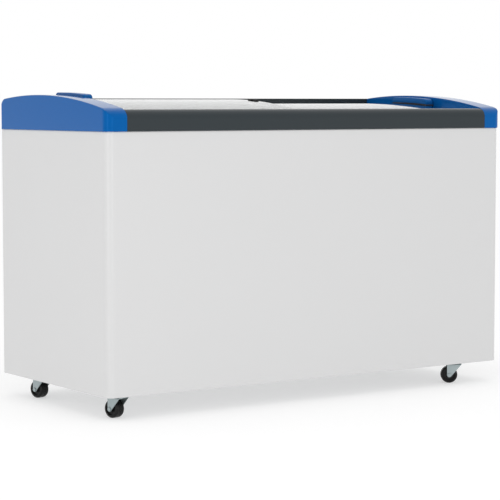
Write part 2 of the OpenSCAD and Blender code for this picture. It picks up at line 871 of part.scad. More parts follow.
// Strip glued under the glass from y to y + runner_w, which slides on the ledge of the rail near edge
module runner(k, x0, x1, y, edge) {
    under = lid_r(k) - glass_t - glue;
    foot = ledge(lid_r(k), edge) + slide_gap;
    y1 = y + runner_w;
    color("#2d3133") along_x(x0, x1)
        polygon([[y, foot], [y1, foot], [y1, arch_z(under, y1)], [y, arch_z(under, y)]]);
}

module front_runner(k, x0, x1) {
    runner(k, x0, x1, lid_y0(k), lid_y0(k));
}

module rear_runner(k, x0, x1) {
    runner(k, x0, x1, lid_y1(k) - runner_w, lid_y1(k));
}

// Handle bar that follows the glass, with rounded upper ends
module handle(k, x0) {
    r0 = lid_r(k) + glue;
    r1 = lid_r(k) + handle_h;
    half = asin(handle_l / 2 / r1);
    mid = atan2(arch_z(r1, handle_y) - crown_z, handle_y - crown_y);
    turn = asin(handle_r / (r1 - handle_r));
    c = [crown_y, crown_z];
    a0 = mid + half;
    a1 = mid - half;
    color("#28588c") along_x(x0, x0 + handle_w) polygon(concat(
        [c + r0 * [cos(a0), sin(a0)]],
        arc(c + (r1 - handle_r) * [cos(a0 - turn), sin(a0 - turn)], handle_r, a0 + 90 - turn, a0 - turn),
        [for (i = [1:5]) let (a = a0 - turn + (a1 - a0 + 2 * turn) * i / 6) c + r1 * [cos(a), sin(a)]],
        arc(c + (r1 - handle_r) * [cos(a1 + turn), sin(a1 + turn)], handle_r, a1 + turn, a1 - 90 + turn),
        [for (i = [0:5]) let (a = a1 + (a0 - a1) * i / 6) c + r0 * [cos(a), sin(a)]]
    ));
}

module lid_left_glass() {
    lid_glass(0, lid_x0, upper_x1);
}

module lid_left_handle() {
    handle(0, lid_x0 + side_gap);
}

module lid_left_front_runner() {
    front_runner(0, lid_x0, upper_x1);
}

module lid_left_rear_runner() {
    rear_runner(0, lid_x0, upper_x1);
}

// Two rubber pads clipped over the upper lid's inner edge, which stop it against the other lid's handle
module lid_left_bumper() {
    top = upper_r + pad_h;
    color("#17181a") for (s = [-1, 1]) {
        y0 = pad_y + s * (pad_l + pad_gap) / 2 - pad_l / 2;
        along_x(upper_x1 - pad_in, upper_x1 + pad_out) arch_strip(upper_r + glue, top, y0, y0 + pad_l);
        along_x(upper_x1 + glue, upper_x1 + pad_out) arch_strip(upper_r - glass_t, top, y0, y0 + pad_l);
    }
}

module lid_left_brush() {
    low = lower_r + 2 * glue;
    high = upper_r - glass_t - glue;
    color("#6f7376") along_x(upper_x1 - brush_w, upper_x1)
        arch_strip(low, high, lid_y0(1) + edge_gap, lid_y1(1) - edge_gap);
}

module lid_right_glass() {
    lid_glass(1, lower_x0, lid_x1);
}

module lid_right_handle() {
    handle(1, lid_x1 - side_gap - handle_w);
}

module lid_right_front_runner() {
    front_runner(1, lower_x0, lid_x1);
}

module lid_right_rear_runner() {
    rear_runner(1, lower_x0, lid_x1);
}

// Bolts through the mounting plates into the blocks above the pan
module caster_bolts() {
    head = 3;
    color("#b4b8bb") at_casters() at_plate_holes() translate([0, 0, pan_z - plate_t]) {
        translate([0, 0, -head]) cylinder(r = 5, h = head, $fn = 6);
        cylinder(r = bolt_r, h = plate_t + pan_t + block_h - 1, $fn = 48);
    }
}

// Mounting plate with its ball race and the swivel pin that carries the fork
module caster_plate(i) {
    p = caster_xy[i];
    pin_z = crown_low - 2.5;
    color("#aeb3b6") translate([p.x, p.y, 0]) difference() {
        union() {
            box([-plate_s / 2, -plate_s / 2, pan_z - plate_t], [plate_s / 2, plate_s / 2, pan_z]);
            translate([0, 0, fork_top + 0.5]) cylinder(r1 = race_r - 3, r2 = race_r, h = 4.6, $fn = 64);
            translate([0, 0, pin_z]) cylinder(r = pin_r, h = pan_z - pin_z - 1, $fn = 48);
            translate([0, 0, pin_z]) cylinder(r = pin_r + 3, h = 2.2, $fn = 48);
        }
        at_plate_holes() translate([0, 0, pan_z - plate_t - eps])
            cylinder(r = bolt_r + turn_gap, h = plate_t + 2 * eps, $fn = 48);
    }
}

// Places what is drawn in a caster's own frame, whose trail runs along +X
module at_caster(i) {
    translate([caster_xy[i].x, caster_xy[i].y, 0]) rotate([0, 0, caster_turn[i]]) children();
}

module caster_fork(i) {
    axle = [trail, wheel_d / 2];
    top = fork_top - fork_t / 2;
    rear = [trail + 7, top];
    fore = [-15, top];
    color("#a9aeb1") at_caster(i) difference() {
        union() {
            translate([0, 0, fork_top - fork_t]) cylinder(r = 21, h = fork_t, $fn = 64);
            box([fore.x, -fork_out, fork_top - fork_t], [rear.x, fork_out, fork_top]);
            for (s = [-1, 1]) translate([0, s > 0 ? fork_out : -fork_in, 0]) rotate([90, 0, 0])
                linear_extrude(height = fork_t) {
                    polygon([fore, rear, touch(rear, axle, boss_r, -1), axle, touch(fore, axle, boss_r, 1)]);
                    translate(axle) circle(r = boss_r, $fn = 48);
                }
        }
        translate([0, 0, crown_low - 2]) cylinder(r = pin_r + turn_gap, h = 12, $fn = 48);
        translate([trail, fork_out + eps, wheel_d / 2]) rotate([90, 0, 0])
            cylinder(r = axle_r + turn_gap, h = 2 * fork_out + 2 * eps, $fn = 48);
    }
}

module caster_axle(i) {
    head = 3;
    color("#c0c4c7") at_caster(i) translate([trail, 0, wheel_d / 2]) rotate([90, 0, 0]) {
        cylinder(r = axle_r, h = 2 * fork_out + 2 * head, center = true, $fn = 48);
        translate([0, 0, fork_out + 0.2]) cylinder(r = 5.5, h = head - 0.5, $fn = 48);
        translate([0, 0, -fork_out - 0.2 - head + 0.5]) cylinder(r = 5.5, h = head - 0.5, $fn = 6);
    }
}

// Half of the wheel's section: (radius, distance from its middle plane)
module caster_wheel(i) {
    r = wheel_d / 2;
    h = wheel_w / 2;
    shoulder = 6;
    hub_r = 9;
    hub_h = fork_in - 0.3;
    rim_r = 17;
    web = 5;
    groove_w = 2;
    groove_d = 1.2;
    half = concat(
        [[axle_r + turn_gap, hub_h], [hub_r, hub_h], [hub_r, h - web], [rim_r, h - web], [rim_r, h]],
        arc([r - shoulder, h - shoulder], shoulder, 90, 0),
        [[r, groove_w], [r - groove_d, groove_w / 2]]
    );
    color("#161616") at_caster(i) translate([trail, 0, r]) rotate([90, 0, 0]) rotate_extrude($fn = 96)
        polygon(concat(half, [for (j = [len(half) - 1:-1:0]) [half[j].x, -half[j].y]]));
}

outer_shell();
back_panel();
base_pan();
inner_liner();
foam_insulation();
breaker_trim();
compartment_lining();
caster_blocks();
evaporator_coil();
condenser_coil();
compressor_shell();
compressor_tray();
compressor_grommets();
compressor_bolts();
start_relay_cover();
filter_drier();
suction_line();
discharge_line();
capillary_tube();
side_grille();
rear_grille();
grille_screws();
thermostat_cup();
thermostat_knob();
indicator_lamp();
cord_gland();
drain_spout();
drain_plug();
end_cap_left();
end_cap_right();
front_rail();
rear_rail();
lid_left_glass();
lid_left_handle();
lid_left_front_runner();
lid_left_rear_runner();
lid_left_bumper();
lid_left_brush();
lid_right_glass();
lid_right_handle();
lid_right_front_runner();
lid_right_rear_runner();
caster_bolts();
for (i = [0:3]) {
    caster_plate(i);
    caster_fork(i);
    caster_axle(i);
    caster_wheel(i);
}
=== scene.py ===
# Chest freezer with two curved sliding lids: the visible pieces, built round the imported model
import json
import math

import bmesh
import bpy
import numpy as np
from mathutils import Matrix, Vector


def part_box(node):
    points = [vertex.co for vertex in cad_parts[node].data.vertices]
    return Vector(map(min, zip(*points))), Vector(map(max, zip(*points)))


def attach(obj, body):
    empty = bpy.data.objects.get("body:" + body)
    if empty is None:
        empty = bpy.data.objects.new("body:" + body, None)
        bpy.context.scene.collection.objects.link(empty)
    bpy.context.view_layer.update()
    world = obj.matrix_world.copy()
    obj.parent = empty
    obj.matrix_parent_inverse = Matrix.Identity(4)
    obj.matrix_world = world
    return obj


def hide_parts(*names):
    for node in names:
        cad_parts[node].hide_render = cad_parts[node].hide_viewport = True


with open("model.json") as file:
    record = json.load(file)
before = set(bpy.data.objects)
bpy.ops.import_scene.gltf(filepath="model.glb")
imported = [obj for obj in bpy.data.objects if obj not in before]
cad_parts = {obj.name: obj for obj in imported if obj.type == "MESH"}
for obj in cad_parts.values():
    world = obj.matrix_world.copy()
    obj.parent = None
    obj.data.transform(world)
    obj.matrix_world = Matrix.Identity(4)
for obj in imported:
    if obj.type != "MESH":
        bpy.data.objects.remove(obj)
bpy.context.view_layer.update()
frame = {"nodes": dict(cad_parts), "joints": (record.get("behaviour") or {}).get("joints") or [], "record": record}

print("frame loaded:", len(frame["nodes"]), "nodes")

mm = 0.001  # pieces are drawn in millimetres and become metres in toMesh
mergeDistance = 2e-6  # metres; points nearer than this are one point
sharpFrom = 30  # degrees between faces, past which an edge shades sharp
record = frame["record"]
joints = {j["name"]: j for j in frame["joints"]}
slotOf = {s["node"]: s["material_slot"] for s in record["subparts"]}
bodyOfNode = {n: b for b, members in record["behaviour"]["bodies"].items() for n in members}
finished = {}


def camel(label):
    first, *rest = label.split("_")
    return first + "".join(w.capitalize() for w in rest)


def boxOf(node):
    lo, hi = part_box(node)
    return np.array(lo) / mm, np.array(hi) / mm


# Arc about a centre, from angle a to angle b in degrees
def arcPoints(centre, radius, a, b, steps):
    angle = np.radians(np.linspace(a, b, steps + 1))
    return np.asarray(centre, float) + radius * np.stack([np.cos(angle), np.sin(angle)], 1)


def unit(v):
    return v / np.maximum(np.linalg.norm(v, axis=-1, keepdims=True), 1e-9)


def rectangle(u0, v0, u1, v1):
    return [(u0, v0), (u1, v0), (u1, v1), (u0, v1)]


# Closed polygon with each corner replaced by an arc: the arc's centre lies on the corner's bisector,
# at radius / sin(half angle), and it is swept from one tangent point to the other
def roundedLoop(corners, radii, steps=5):
    p = np.asarray(corners, float)
    r = np.maximum(np.broadcast_to(np.asarray(radii, float), (len(p),)), 1e-4)[:, None]
    a, b = unit(np.roll(p, 1, 0) - p), unit(np.roll(p, -1, 0) - p)
    half = np.arccos(np.clip((a * b).sum(1), -1, 1))[:, None] / 2
    centre = p + unit(a + b) * r / np.sin(half)
    start = p + a * r / np.tan(half) - centre
    turn = np.sign(a[:, :1] * b[:, 1:] - a[:, 1:] * b[:, :1]) * (2 * half - np.pi)
    angle = turn * np.linspace(0, 1, steps + 1)[None]
    x = start[:, :1] * np.cos(angle) - start[:, 1:] * np.sin(angle)
    y = start[:, :1] * np.sin(angle) + start[:, 1:] * np.cos(angle)
    return (centre[:, None] + np.stack([x, y], 2)).reshape(-1, 2)


# Straight stretches of a closed loop get points near both ends, so that flat faces shade flat
def withSupports(loop, near=2.0, longer=8.0):
    step = np.roll(loop, -1, 0) - loop
    length = np.linalg.norm(step, axis=1)
    count = np.where(length > longer, 3, 1)
    first = np.repeat(np.arange(len(loop)), count)
    place = np.concatenate([[0.0, near, -near][:c] for c in count])
    along = np.where(place < 0, length[first] + place, place)
    return loop[first] + unit(step)[first] * along[:, None]


# A loop moved inward along its own normals, which are square to the mean of both neighbours' directions
def insetLoop(loop, depth):
    tangent = unit(unit(np.roll(loop, -1, 0) - loop) + unit(loop - np.roll(loop, 1, 0)))
    area = (loop[:, 0] * np.roll(loop[:, 1], -1) - loop[:, 1] * np.roll(loop[:, 0], -1)).sum()
    inward = np.stack([-tangent[:, 1], tangent[:, 0]], 1) * np.sign(area)
    return loop + inward * depth


# The loop at one height, drawn in by a depth, as points (u, v, w)
def levelLoop(loop, depth, height):
    return np.concatenate([insetLoop(loop, depth), np.full((len(loop), 1), height)], 1)


# Local axes: what is drawn in (u, v, w) is put at origin + u * U + v * V + w * W
def axesAt(origin, u=(1, 0, 0), v=(0, 1, 0), w=(0, 0, 1)):
    return np.asarray(origin, float), np.array([u, v, w], float)


outRight = ((0, 1, 0), (0, 0, 1), (1, 0, 0))  # drawn on the right side, w out of it
outBack = ((-1, 0, 0), (0, 0, 1), (0, 1, 0))
alongX = axesAt((0, 0, 0), *outRight)
alongZ = axesAt((0, 0, 0))


def placed(points, axes):
    origin, basis = axes
    return points @ basis + origin


# Rings of points (m, n, 3) joined by quads, closed round each ring, with a face over each end
def loft(rings, caps=True, ringClosed=True, endClosed=False):
    m, n = rings.shape[:2]
    index = np.arange(m * n).reshape(m, n)
    if ringClosed:
        index = np.concatenate([index, index[:, :1]], 1)
    if endClosed:
        index = np.concatenate([index, index[:1]], 0)
    quads = np.stack([index[:-1, :-1], index[:-1, 1:], index[1:, 1:], index[1:, :-1]], 2).reshape(-1, 4)
    ends = [index[0, :n][::-1], index[-1, :n]] if caps and ringClosed else []
    return rings.reshape(-1, 3), quads, ends


# A loop carried along w from low to high, whose two end edges are rounded to the given radius:
# at the height radius * (1 - cos) from an end the loop is drawn in by radius * (1 - sin)
def bar(loop, low, high, axes, edge=0.6, steps=3):
    angle = np.linspace(0, np.pi / 2, steps + 1)
    rise, draw = edge * (1 - np.cos(angle)), edge * (1 - np.sin(angle))
    support = min(2 * edge, (high - low) * 0.3)
    w = np.concatenate([low + rise, [low + edge + support, high - edge - support], (high - rise)[::-1]])
    d = np.concatenate([draw, [0, 0], draw[::-1]])
    return loft(placed(np.stack([levelLoop(loop, k, h) for h, k in zip(w, d)]), axes))


# A profile (radius, height) turned about w. An open profile begins and ends on the axis
def turned(profile, axes, steps=64, closed=False):
    angle = np.arange(steps) * 2 * np.pi / steps
    p = np.asarray(profile, float)
    rings = np.stack([p[:, :1] * np.cos(angle), p[:, :1] * np.sin(angle),
                      np.broadcast_to(p[:, 1:], (len(p), steps))], 2)
    return loft(placed(rings, axes), caps=False, endClosed=closed)


# A section (inset, height) carried round a closed plan loop: each section point is the loop drawn in
# by its inset, at its height
def carried(section, plan, axes):
    return loft(placed(np.stack([levelLoop(plan, *s) for s in section]), axes), caps=False, endClosed=True)


def sheet(points):
    return loft(points, caps=False, ringClosed=False)


def pointGrid(x, y, z):
    return sheet(np.stack(np.broadcast_arrays(x, y, z), 2))


def shadeMesh(mesh, smooth):
    mesh.polygons.foreach_set("use_smooth", np.ones(len(mesh.polygons), bool))
    mesh.set_sharp_from_angle(angle=math.radians(smooth))
    mesh.update()


# Faces are turned outward; loose triangles are joined first, and flat ones become one face
def faceOutward(mesh, joinWithin=0, flatWithin=0.5):
    work = bmesh.new()
    work.from_mesh(mesh)
    if joinWithin:
        bmesh.ops.remove_doubles(work, verts=work.verts, dist=joinWithin)
        flat = math.radians(flatWithin)
        bmesh.ops.dissolve_limit(work, angle_limit=flat, verts=work.verts, edges=work.edges)
    bmesh.ops.recalc_face_normals(work, faces=work.faces)
    work.to_mesh(mesh)
    work.free()


# Shared corners are made one point, and quads with a doubled corner become triangles
def toMesh(name, parts, outward=True, smooth=sharpFrom):
    offset, points, quads, ends = 0, [], [], []
    for v, q, e in parts:
        points.append(v)
        quads.append(q + offset)
        ends += [k + offset for k in e]
        offset += len(v)
    v, q = np.concatenate(points) * mm, np.concatenate(quads)
    cell = np.round(v / mergeDistance).astype(np.int64)
    _, first, same = np.unique(cell, axis=0, return_index=True, return_inverse=True)
    same = same.reshape(-1)
    v, q = v[first], same[q]
    doubled = q == np.roll(q, -1, 1)
    faces = q[doubled.sum(1) == 0].tolist()
    for k in range(4):
        only = (doubled.sum(1) == 1) & doubled[:, k]
        faces += np.delete(q[only], k, 1).tolist()
    for e in ends:
        e = same[e]
        faces.append(e[e != np.roll(e, 1)].tolist())
    mesh = bpy.data.meshes.new(name)
    mesh.from_pydata(v.tolist(), [], faces)
    mesh.validate()
    if outward:
        faceOutward(mesh)
    shadeMesh(mesh, smooth)
    return mesh


def addObject(name, data):
    obj = bpy.data.objects.new(name, data)
    bpy.context.scene.collection.objects.link(obj)
    return obj


# A new piece on a body, with its slot's finish unless another one is given
def piece(name, parts, body, slotName, replaces=(), material=None, outward=True, smooth=sharpFrom):
    mesh = parts if isinstance(parts, bpy.types.Mesh) else toMesh(name, parts, outward, smooth)
    obj = addObject(name, mesh)
    mesh.materials.append(material or finishes[slotName])
    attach(obj, body)
    if replaces:
        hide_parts(*replaces)
        finished.update(dict.fromkeys(replaces, name))
    return obj


# A piece that stands for one CAD node, on that node's body and in its slot
def nodePiece(name, node, parts, **options):
    return piece(name, parts, bodyOfNode[node], slotOf[node], [node], **options)


def softenEdges(obj, width, segments=2, sharper=35):
    m = obj.modifiers.new("softEdges", "BEVEL")
    m.width, m.segments, m.harden_normals = width * mm, segments, False
    m.limit_method, m.angle_limit = "ANGLE", math.radians(sharper)


def thicken(obj, thickness, offset=-1, even=True):
    m = obj.modifiers.new("thickness", "SOLIDIFY")
    m.thickness, m.offset, m.use_even_offset = thickness * mm, offset, even


# A merged, smooth-shaded copy of a node's own mesh
def mergedCopy(name, node, smooth=sharpFrom, bevel=0):
    mesh = frame["nodes"][node].data.copy()
    mesh.materials.clear()
    faceOutward(mesh, mergeDistance)
    shadeMesh(mesh, smooth)
    obj = nodePiece(name, node, mesh)
    if bevel:
        softenEdges(obj, bevel)


# Sockets are given by name, with _ for a space
def setSockets(n, **values):
    for key, value in values.items():
        n.inputs[key.replace("_", " ")].default_value = value


# A shader or texture node, with its sockets' values and its own settings by name
def nodeAt(tree, kind, **values):
    n = tree.nodes.new(kind)
    for key, value in values.items():
        if key.replace("_", " ") in n.inputs:
            setSockets(n, **{key: value})
        else:
            setattr(n, key, value)
    return n


def mathAt(tree, operation):
    return nodeAt(tree, "ShaderNodeMath", operation=operation)


def wire(tree, *links):
    for source, output, target, socket in links:
        tree.links.new(source.outputs[output], target.inputs[socket])


# A node group: its inputs with their usual values, and what it puts out
def newGroup(name, inputs, outputs):
    tree = bpy.data.node_groups.new(name, "ShaderNodeTree")
    for label, value in inputs.items():
        kind = "NodeSocketColor" if isinstance(value, tuple) else "NodeSocketFloat"
        tree.interface.new_socket(label, in_out="INPUT", socket_type=kind).default_value = value
    for label, kind in outputs.items():
        tree.interface.new_socket(label, in_out="OUTPUT", socket_type="NodeSocket" + kind)
    return tree, tree.nodes.new("NodeGroupInput"), tree.nodes.new("NodeGroupOutput")


# Fine grain: a small noise raises the normal, and a broad one spreads the roughness round its middle
def fineGrainGroup():
    usual = {"scale": 400, "height": 0.2, "roughness": 0.4, "spread": 0.06}
    tree, given, out = newGroup("fineGrain", usual, {"roughness": "Float", "normal": "Vector"})
    place = nodeAt(tree, "ShaderNodeTexCoord")
    grain = nodeAt(tree, "ShaderNodeTexNoise", Detail=3.0)
    cloud = nodeAt(tree, "ShaderNodeTexNoise", Scale=9.0, Detail=4.0)
    bump = nodeAt(tree, "ShaderNodeBump", Distance=0.0002)
    centred, scaled, added = mathAt(tree, "SUBTRACT"), mathAt(tree, "MULTIPLY"), mathAt(tree, "ADD")
    centred.inputs[1].default_value = 0.5
    wire(tree, (place, "Object", grain, "Vector"), (place, "Object", cloud, "Vector"),
         (given, "scale", grain, "Scale"), (grain, "Fac", bump, "Height"),
         (given, "height", bump, "Strength"), (cloud, "Fac", centred, 0),
         (centred, 0, scaled, 0), (given, "spread", scaled, 1),
         (scaled, 0, added, 0), (given, "roughness", added, 1), (added, 0, out, "roughness"),
         (bump, "Normal", out, "normal"))
    return tree


# Settled tone: a slow noise shifts the colour a little, and upward faces take a trace of dust
def settledToneGroup():
    usual = {"colour": (0.5, 0.5, 0.5, 1), "shade": (0.4, 0.4, 0.4, 1), "amount": 0.3, "dust": 0.04}
    tree, given, out = newGroup("settledTone", usual, {"colour": "Color"})
    place = nodeAt(tree, "ShaderNodeTexCoord")
    slow = nodeAt(tree, "ShaderNodeTexNoise", Scale=3.5, Detail=5.0)
    specks = nodeAt(tree, "ShaderNodeTexNoise", Scale=60.0, Detail=4.0)
    facing = nodeAt(tree, "ShaderNodeNewGeometry")
    split = nodeAt(tree, "ShaderNodeSeparateXYZ")
    upward = nodeAt(tree, "ShaderNodeMapRange", From_Min=0.6)
    tone, grey, amount = mathAt(tree, "MULTIPLY"), mathAt(tree, "MULTIPLY"), mathAt(tree, "MULTIPLY")
    first = nodeAt(tree, "ShaderNodeMix", data_type="RGBA")
    second = nodeAt(tree, "ShaderNodeMix", data_type="RGBA")
    second.inputs["B"].default_value = (0.62, 0.60, 0.57, 1)
    wire(tree, (place, "Object", slow, "Vector"), (place, "Object", specks, "Vector"),
         (slow, "Fac", tone, 0), (given, "amount", tone, 1), (tone, 0, first, "Factor"),
         (given, "colour", first, "A"), (given, "shade", first, "B"),
         (facing, "Normal", split, 0), (split, "Z", upward, "Value"), (upward, "Result", grey, 0),
         (specks, "Fac", grey, 1), (grey, 0, amount, 0), (given, "dust", amount, 1),
         (amount, 0, second, "Factor"), (first, "Result", second, "A"), (second, "Result", out, "colour"))
    return tree


fineGrain = fineGrainGroup()
settledTone = settledToneGroup()


def newMaterial(name, colour, alpha=1.0, **sockets):
    material = bpy.data.materials.new(name)
    material.use_nodes = True
    material.diffuse_color = (*colour, alpha)
    shader = material.node_tree.nodes["Principled BSDF"]
    setSockets(shader, Base_Color=(*colour, 1), **sockets)
    return material, material.node_tree, shader


# A finish goes from its colour to its shade, and its grain, roughness and dust come from the groups
def finish(name, colour, shade, roughness=0.4, spread=0.06, scale=400, height=0.15, amount=0.3,
           dust=0.03, **sockets):
    material, tree, shader = newMaterial(name, colour, **sockets)
    grain = nodeAt(tree, "ShaderNodeGroup", node_tree=fineGrain, scale=scale, height=height,
                   roughness=roughness, spread=spread)
    tone = nodeAt(tree, "ShaderNodeGroup", node_tree=settledTone, colour=(*colour, 1), shade=(*shade, 1),
                  amount=amount, dust=dust)
    wire(tree, (tone, "colour", shader, "Base Color"), (grain, "roughness", shader, "Roughness"),
         (grain, "normal", shader, "Normal"))
    return material


moulded = dict(roughness=0.42, scale=480, height=0.2, dust=0.05)
glossy = dict(scale=520, dust=0.0)
blueSheen = dict(glossy, Specular_Tint=(0.1, 0.4, 1.0, 1.0))
finishTable = {
    "painted_body": ("whitePaint", (0.69, 0.69, 0.692), (0.65, 0.65, 0.65), dict(
        roughness=0.34, spread=0.05, scale=650, height=0.05, amount=0.25, dust=0.02, Coat_Weight=0.25,
        Coat_Roughness=0.22)),
    "galvanised": ("galvanisedSheet", (0.52, 0.53, 0.54), (0.38, 0.39, 0.40), dict(
        roughness=0.42, spread=0.25, scale=55, height=0.03, amount=0.8, Metallic=0.9)),
    "liner_white": ("linerWhite", (0.80, 0.81, 0.81), (0.76, 0.77, 0.77), dict(roughness=0.3, height=0.04)),
    "foam": ("rigidFoam", (0.80, 0.70, 0.42), (0.66, 0.55, 0.30), dict(
        roughness=0.85, scale=220, height=0.6, amount=0.7)),
    "white_plastic": ("whitePlastic", (0.78, 0.78, 0.77), (0.74, 0.74, 0.73), dict(
        roughness=0.38, scale=500, height=0.08)),
    "plywood": ("plywoodBlock", (0.50, 0.34, 0.18), (0.32, 0.20, 0.10), dict(
        roughness=0.7, scale=90, height=0.4, amount=0.9)),
    "copper": ("copperPipe", (0.72, 0.36, 0.22), (0.50, 0.22, 0.13), dict(
        roughness=0.3, spread=0.2, height=0.05, amount=0.8, Metallic=1.0)),
    "pipe_steel": ("pipeSteel", (0.40, 0.40, 0.41), (0.30, 0.30, 0.30), dict(
        spread=0.15, height=0.05, Metallic=0.9)),
    "compressor_black": ("compressorBlack", (0.018, 0.018, 0.020), (0.012, 0.012, 0.013), dict(
        roughness=0.38, spread=0.15, scale=300, height=0.2, dust=0.12)),
    "rubber": ("blackRubber", (0.016, 0.016, 0.017), (0.026, 0.026, 0.027), dict(
        roughness=0.62, scale=500, height=0.2, dust=0.06)),
    "zinc": ("zincPlate", (0.44, 0.50, 0.51), (0.26, 0.31, 0.32), dict(
        roughness=0.36, spread=0.2, scale=120, height=0.06, amount=0.7, Metallic=0.75)),
    "black_plastic": ("blackPlastic", (0.022, 0.023, 0.025), (0.016, 0.017, 0.018), moulded),
    "grey_plastic": ("greyPlastic", (0.05, 0.055, 0.06), (0.04, 0.044, 0.048), moulded),
    "lamp_green": ("greenLens", (0.03, 0.42, 0.08), (0.02, 0.34, 0.06), dict(
        roughness=0.12, height=0.0, Coat_Weight=0.6)),
    "blue_plastic": ("bluePlastic", (0.002, 0.106, 0.37), (0.002, 0.096, 0.34), dict(
        blueSheen, roughness=0.10, spread=0.02, height=0.01, Specular_IOR_Level=0.4)),
    "handle_blue": ("handlePlastic", (0.006, 0.104, 0.34), (0.006, 0.094, 0.31), dict(
        blueSheen, roughness=0.26, spread=0.03, height=0.03, Specular_IOR_Level=0.3)),
    "rail_grey": ("railGrey", (0.027, 0.036, 0.041), (0.023, 0.031, 0.036), dict(
        glossy, roughness=0.24, spread=0.03, height=0.03, Specular_IOR_Level=0.3)),
    "brush": ("brushFibre", (0.10, 0.10, 0.105), (0.06, 0.06, 0.06), dict(roughness=0.8)),
    "wheel_black": ("wheelBlack", (0.004, 0.004, 0.004), (0.007, 0.007, 0.007), dict(
        roughness=0.3, spread=0.08, scale=260, height=0.1, dust=0.01, Specular_IOR_Level=0.25)),
}
finishes = {slot: finish(name, colour, shade, **values)
            for slot, (name, colour, shade, values) in finishTable.items()}
finishes["lid_glass"], *_ = newMaterial("lidGlass", (0.95, 0.985, 0.975), 0.4, Roughness=0.0, IOR=1.5,
                                        Transmission_Weight=1.0)
print("finishes made:", len(finishes))

shellLo, shellHi = boxOf("outer_shell")
grilleLo, grilleHi = boxOf("side_grille")
cupLo, cupHi = boxOf("thermostat_cup")
lampLo, lampHi = boxOf("indicator_lamp")
cupY, cupZ = (cupLo[1] + cupHi[1]) / 2, (cupLo[2] + cupHi[2]) / 2
lampZ = (lampLo[2] + lampHi[2]) / 2

shell = {"corner": 20, "thickness": 0.8, "support": 3, "hemRadius": 1.6, "hemReturn": 5,
         "grilleFrame": 12, "cupHole": 24.5, "cupField": 32, "lampHole": 6.5, "lampField": 15,
         "backFold": 12, "foldRadius": 1.2, "foldStart": 1.5, "cells": 8}


# Square ring of points round a grid block, from its lower left corner, with `cells` steps on each side
def blockEdge(across, up):
    cells = len(across) - 1
    y = np.concatenate([across[:-1], [across[-1]] * cells, across[:0:-1], [across[0]] * cells])
    z = np.concatenate([[up[0]] * cells, up[:-1], [up[-1]] * cells, up[:0:-1]])
    return np.stack([y, z], 1)


# The wrapper is a plan path carried down a profile: each profile point (inset, z) is the path drawn
# in by the inset. The right side is a flat grid of the same heights, whose cells at the grille are
# left out, and whose cells round the cup and the lamp are filled by rings from a rectangle to a circle
def bodyShell():
    s = shell
    r, near, fold = s["corner"], s["support"], s["foldRadius"]
    x1, y0, y1 = shellHi[0], shellLo[1], shellHi[1]
    bottom, top = shellLo[2], shellHi[2]
    (holeY0, holeZ0), (holeY1, holeZ1) = grilleLo[1:] + s["grilleFrame"], grilleHi[1:] - s["grilleFrame"]
    across = np.linspace(cupY - s["cupField"], cupY + s["cupField"], s["cells"] + 1)
    cupRows = np.linspace(2 * cupZ - holeZ1, holeZ1, s["cells"] + 1)
    lampRows = np.linspace(lampZ - s["lampField"], lampZ + s["lampField"], s["cells"] + 1)
    hem = bottom + s["hemRadius"]
    zLines = np.concatenate([[hem, hem + near, holeZ0], lampRows, cupRows, [top - near, top]])
    yLines = np.concatenate([[y0 + r, y0 + r + near, holeY0, holeY1], across, [y1 - near, y1]])
    # heights and insets down the profile: straight face, rolled hem, short return
    roll = np.radians(np.linspace(0, 90, 5))[1:]
    profileZ = np.concatenate([zLines[::-1], hem - s["hemRadius"] * np.sin(roll), [bottom]])
    profileIn = np.concatenate([np.zeros(len(zLines)), s["hemRadius"] * (1 - np.cos(roll)), [s["hemReturn"]]])
    path = np.concatenate([
        [[-x1 + s["backFold"], y1], [-x1 + s["foldStart"], y1]],
        arcPoints((-x1 + fold, y1 - fold), fold, 90, 180, 4)[1:-1],
        [[-x1, y1 - near], [-x1, y0 + r + near]],
        arcPoints((-x1 + r, y0 + r), r, 180, 270, 14), [[-x1 + r + near, y0], [x1 - r - near, y0]],
        arcPoints((x1 - r, y0 + r), r, 270, 360, 14)])
    step = np.gradient(path, axis=0)
    inward = unit(np.stack([-step[:, 1], step[:, 0]], 1))
    inward[0] = inward[1] = (0, -1)
    inward[-1] = (-1, 0)
    plan = path[None] + inward[None] * profileIn[:, None, None]
    wrapper = np.concatenate([plan, np.broadcast_to(profileZ[:, None, None], (*plan.shape[:2], 1))], 2)
    # right side
    v, q, e = pointGrid((x1 - profileIn)[:, None], yLines[None], profileZ[:, None])
    y, z = v[q].mean(1)[:, 1:].T
    inField = (y > across[0]) & (y < across[-1])
    left = (y > holeY0) & (y < holeY1) & (z > holeZ0) & (z < holeZ1)
    parts = [sheet(wrapper)]
    for rows, centreZ, radius in ((cupRows, cupZ, s["cupHole"]), (lampRows, lampZ, s["lampHole"])):
        left |= inField & (z > rows[0]) & (z < rows[-1])
        away = blockEdge(across, rows) - (cupY, centreZ)
        t = np.linspace(0, 1, 5)[:, None, None]
        ring = (cupY, centreZ) + away * (1 - t) + unit(away) * radius * t
        parts.append(loft(np.concatenate([np.full((*ring.shape[:2], 1), x1), ring], 2), caps=False))
    return parts + [(v, q[~left], e)]


shellMesh = toMesh("bodyShell", bodyShell())
if max(shellMesh.polygons, key=lambda p: p.area).normal.y > 0.5:  # an open shell can come out inside out
    shellMesh.flip_normals()
shellPiece = nodePiece("bodyShell", "outer_shell", shellMesh)
thicken(shellPiece, shell["thickness"], even=False)
print("body shell made")

# Caps, rails and lids share one arch: circles about the axis (y, z) that runs along x
arch = {"y": 85, "z": -986, "cap": 1850, "glass": 4, "foot": 8.4}
arch["upper"] = boxOf("lid_left_glass")[1][2] - arch["z"]
arch["lower"] = boxOf("lid_right_glass")[1][2] - arch["z"]


def archHeight(radius, y):
    return arch["z"] + np.sqrt(radius ** 2 - (np.asarray(y, float) - arch["y"]) ** 2)


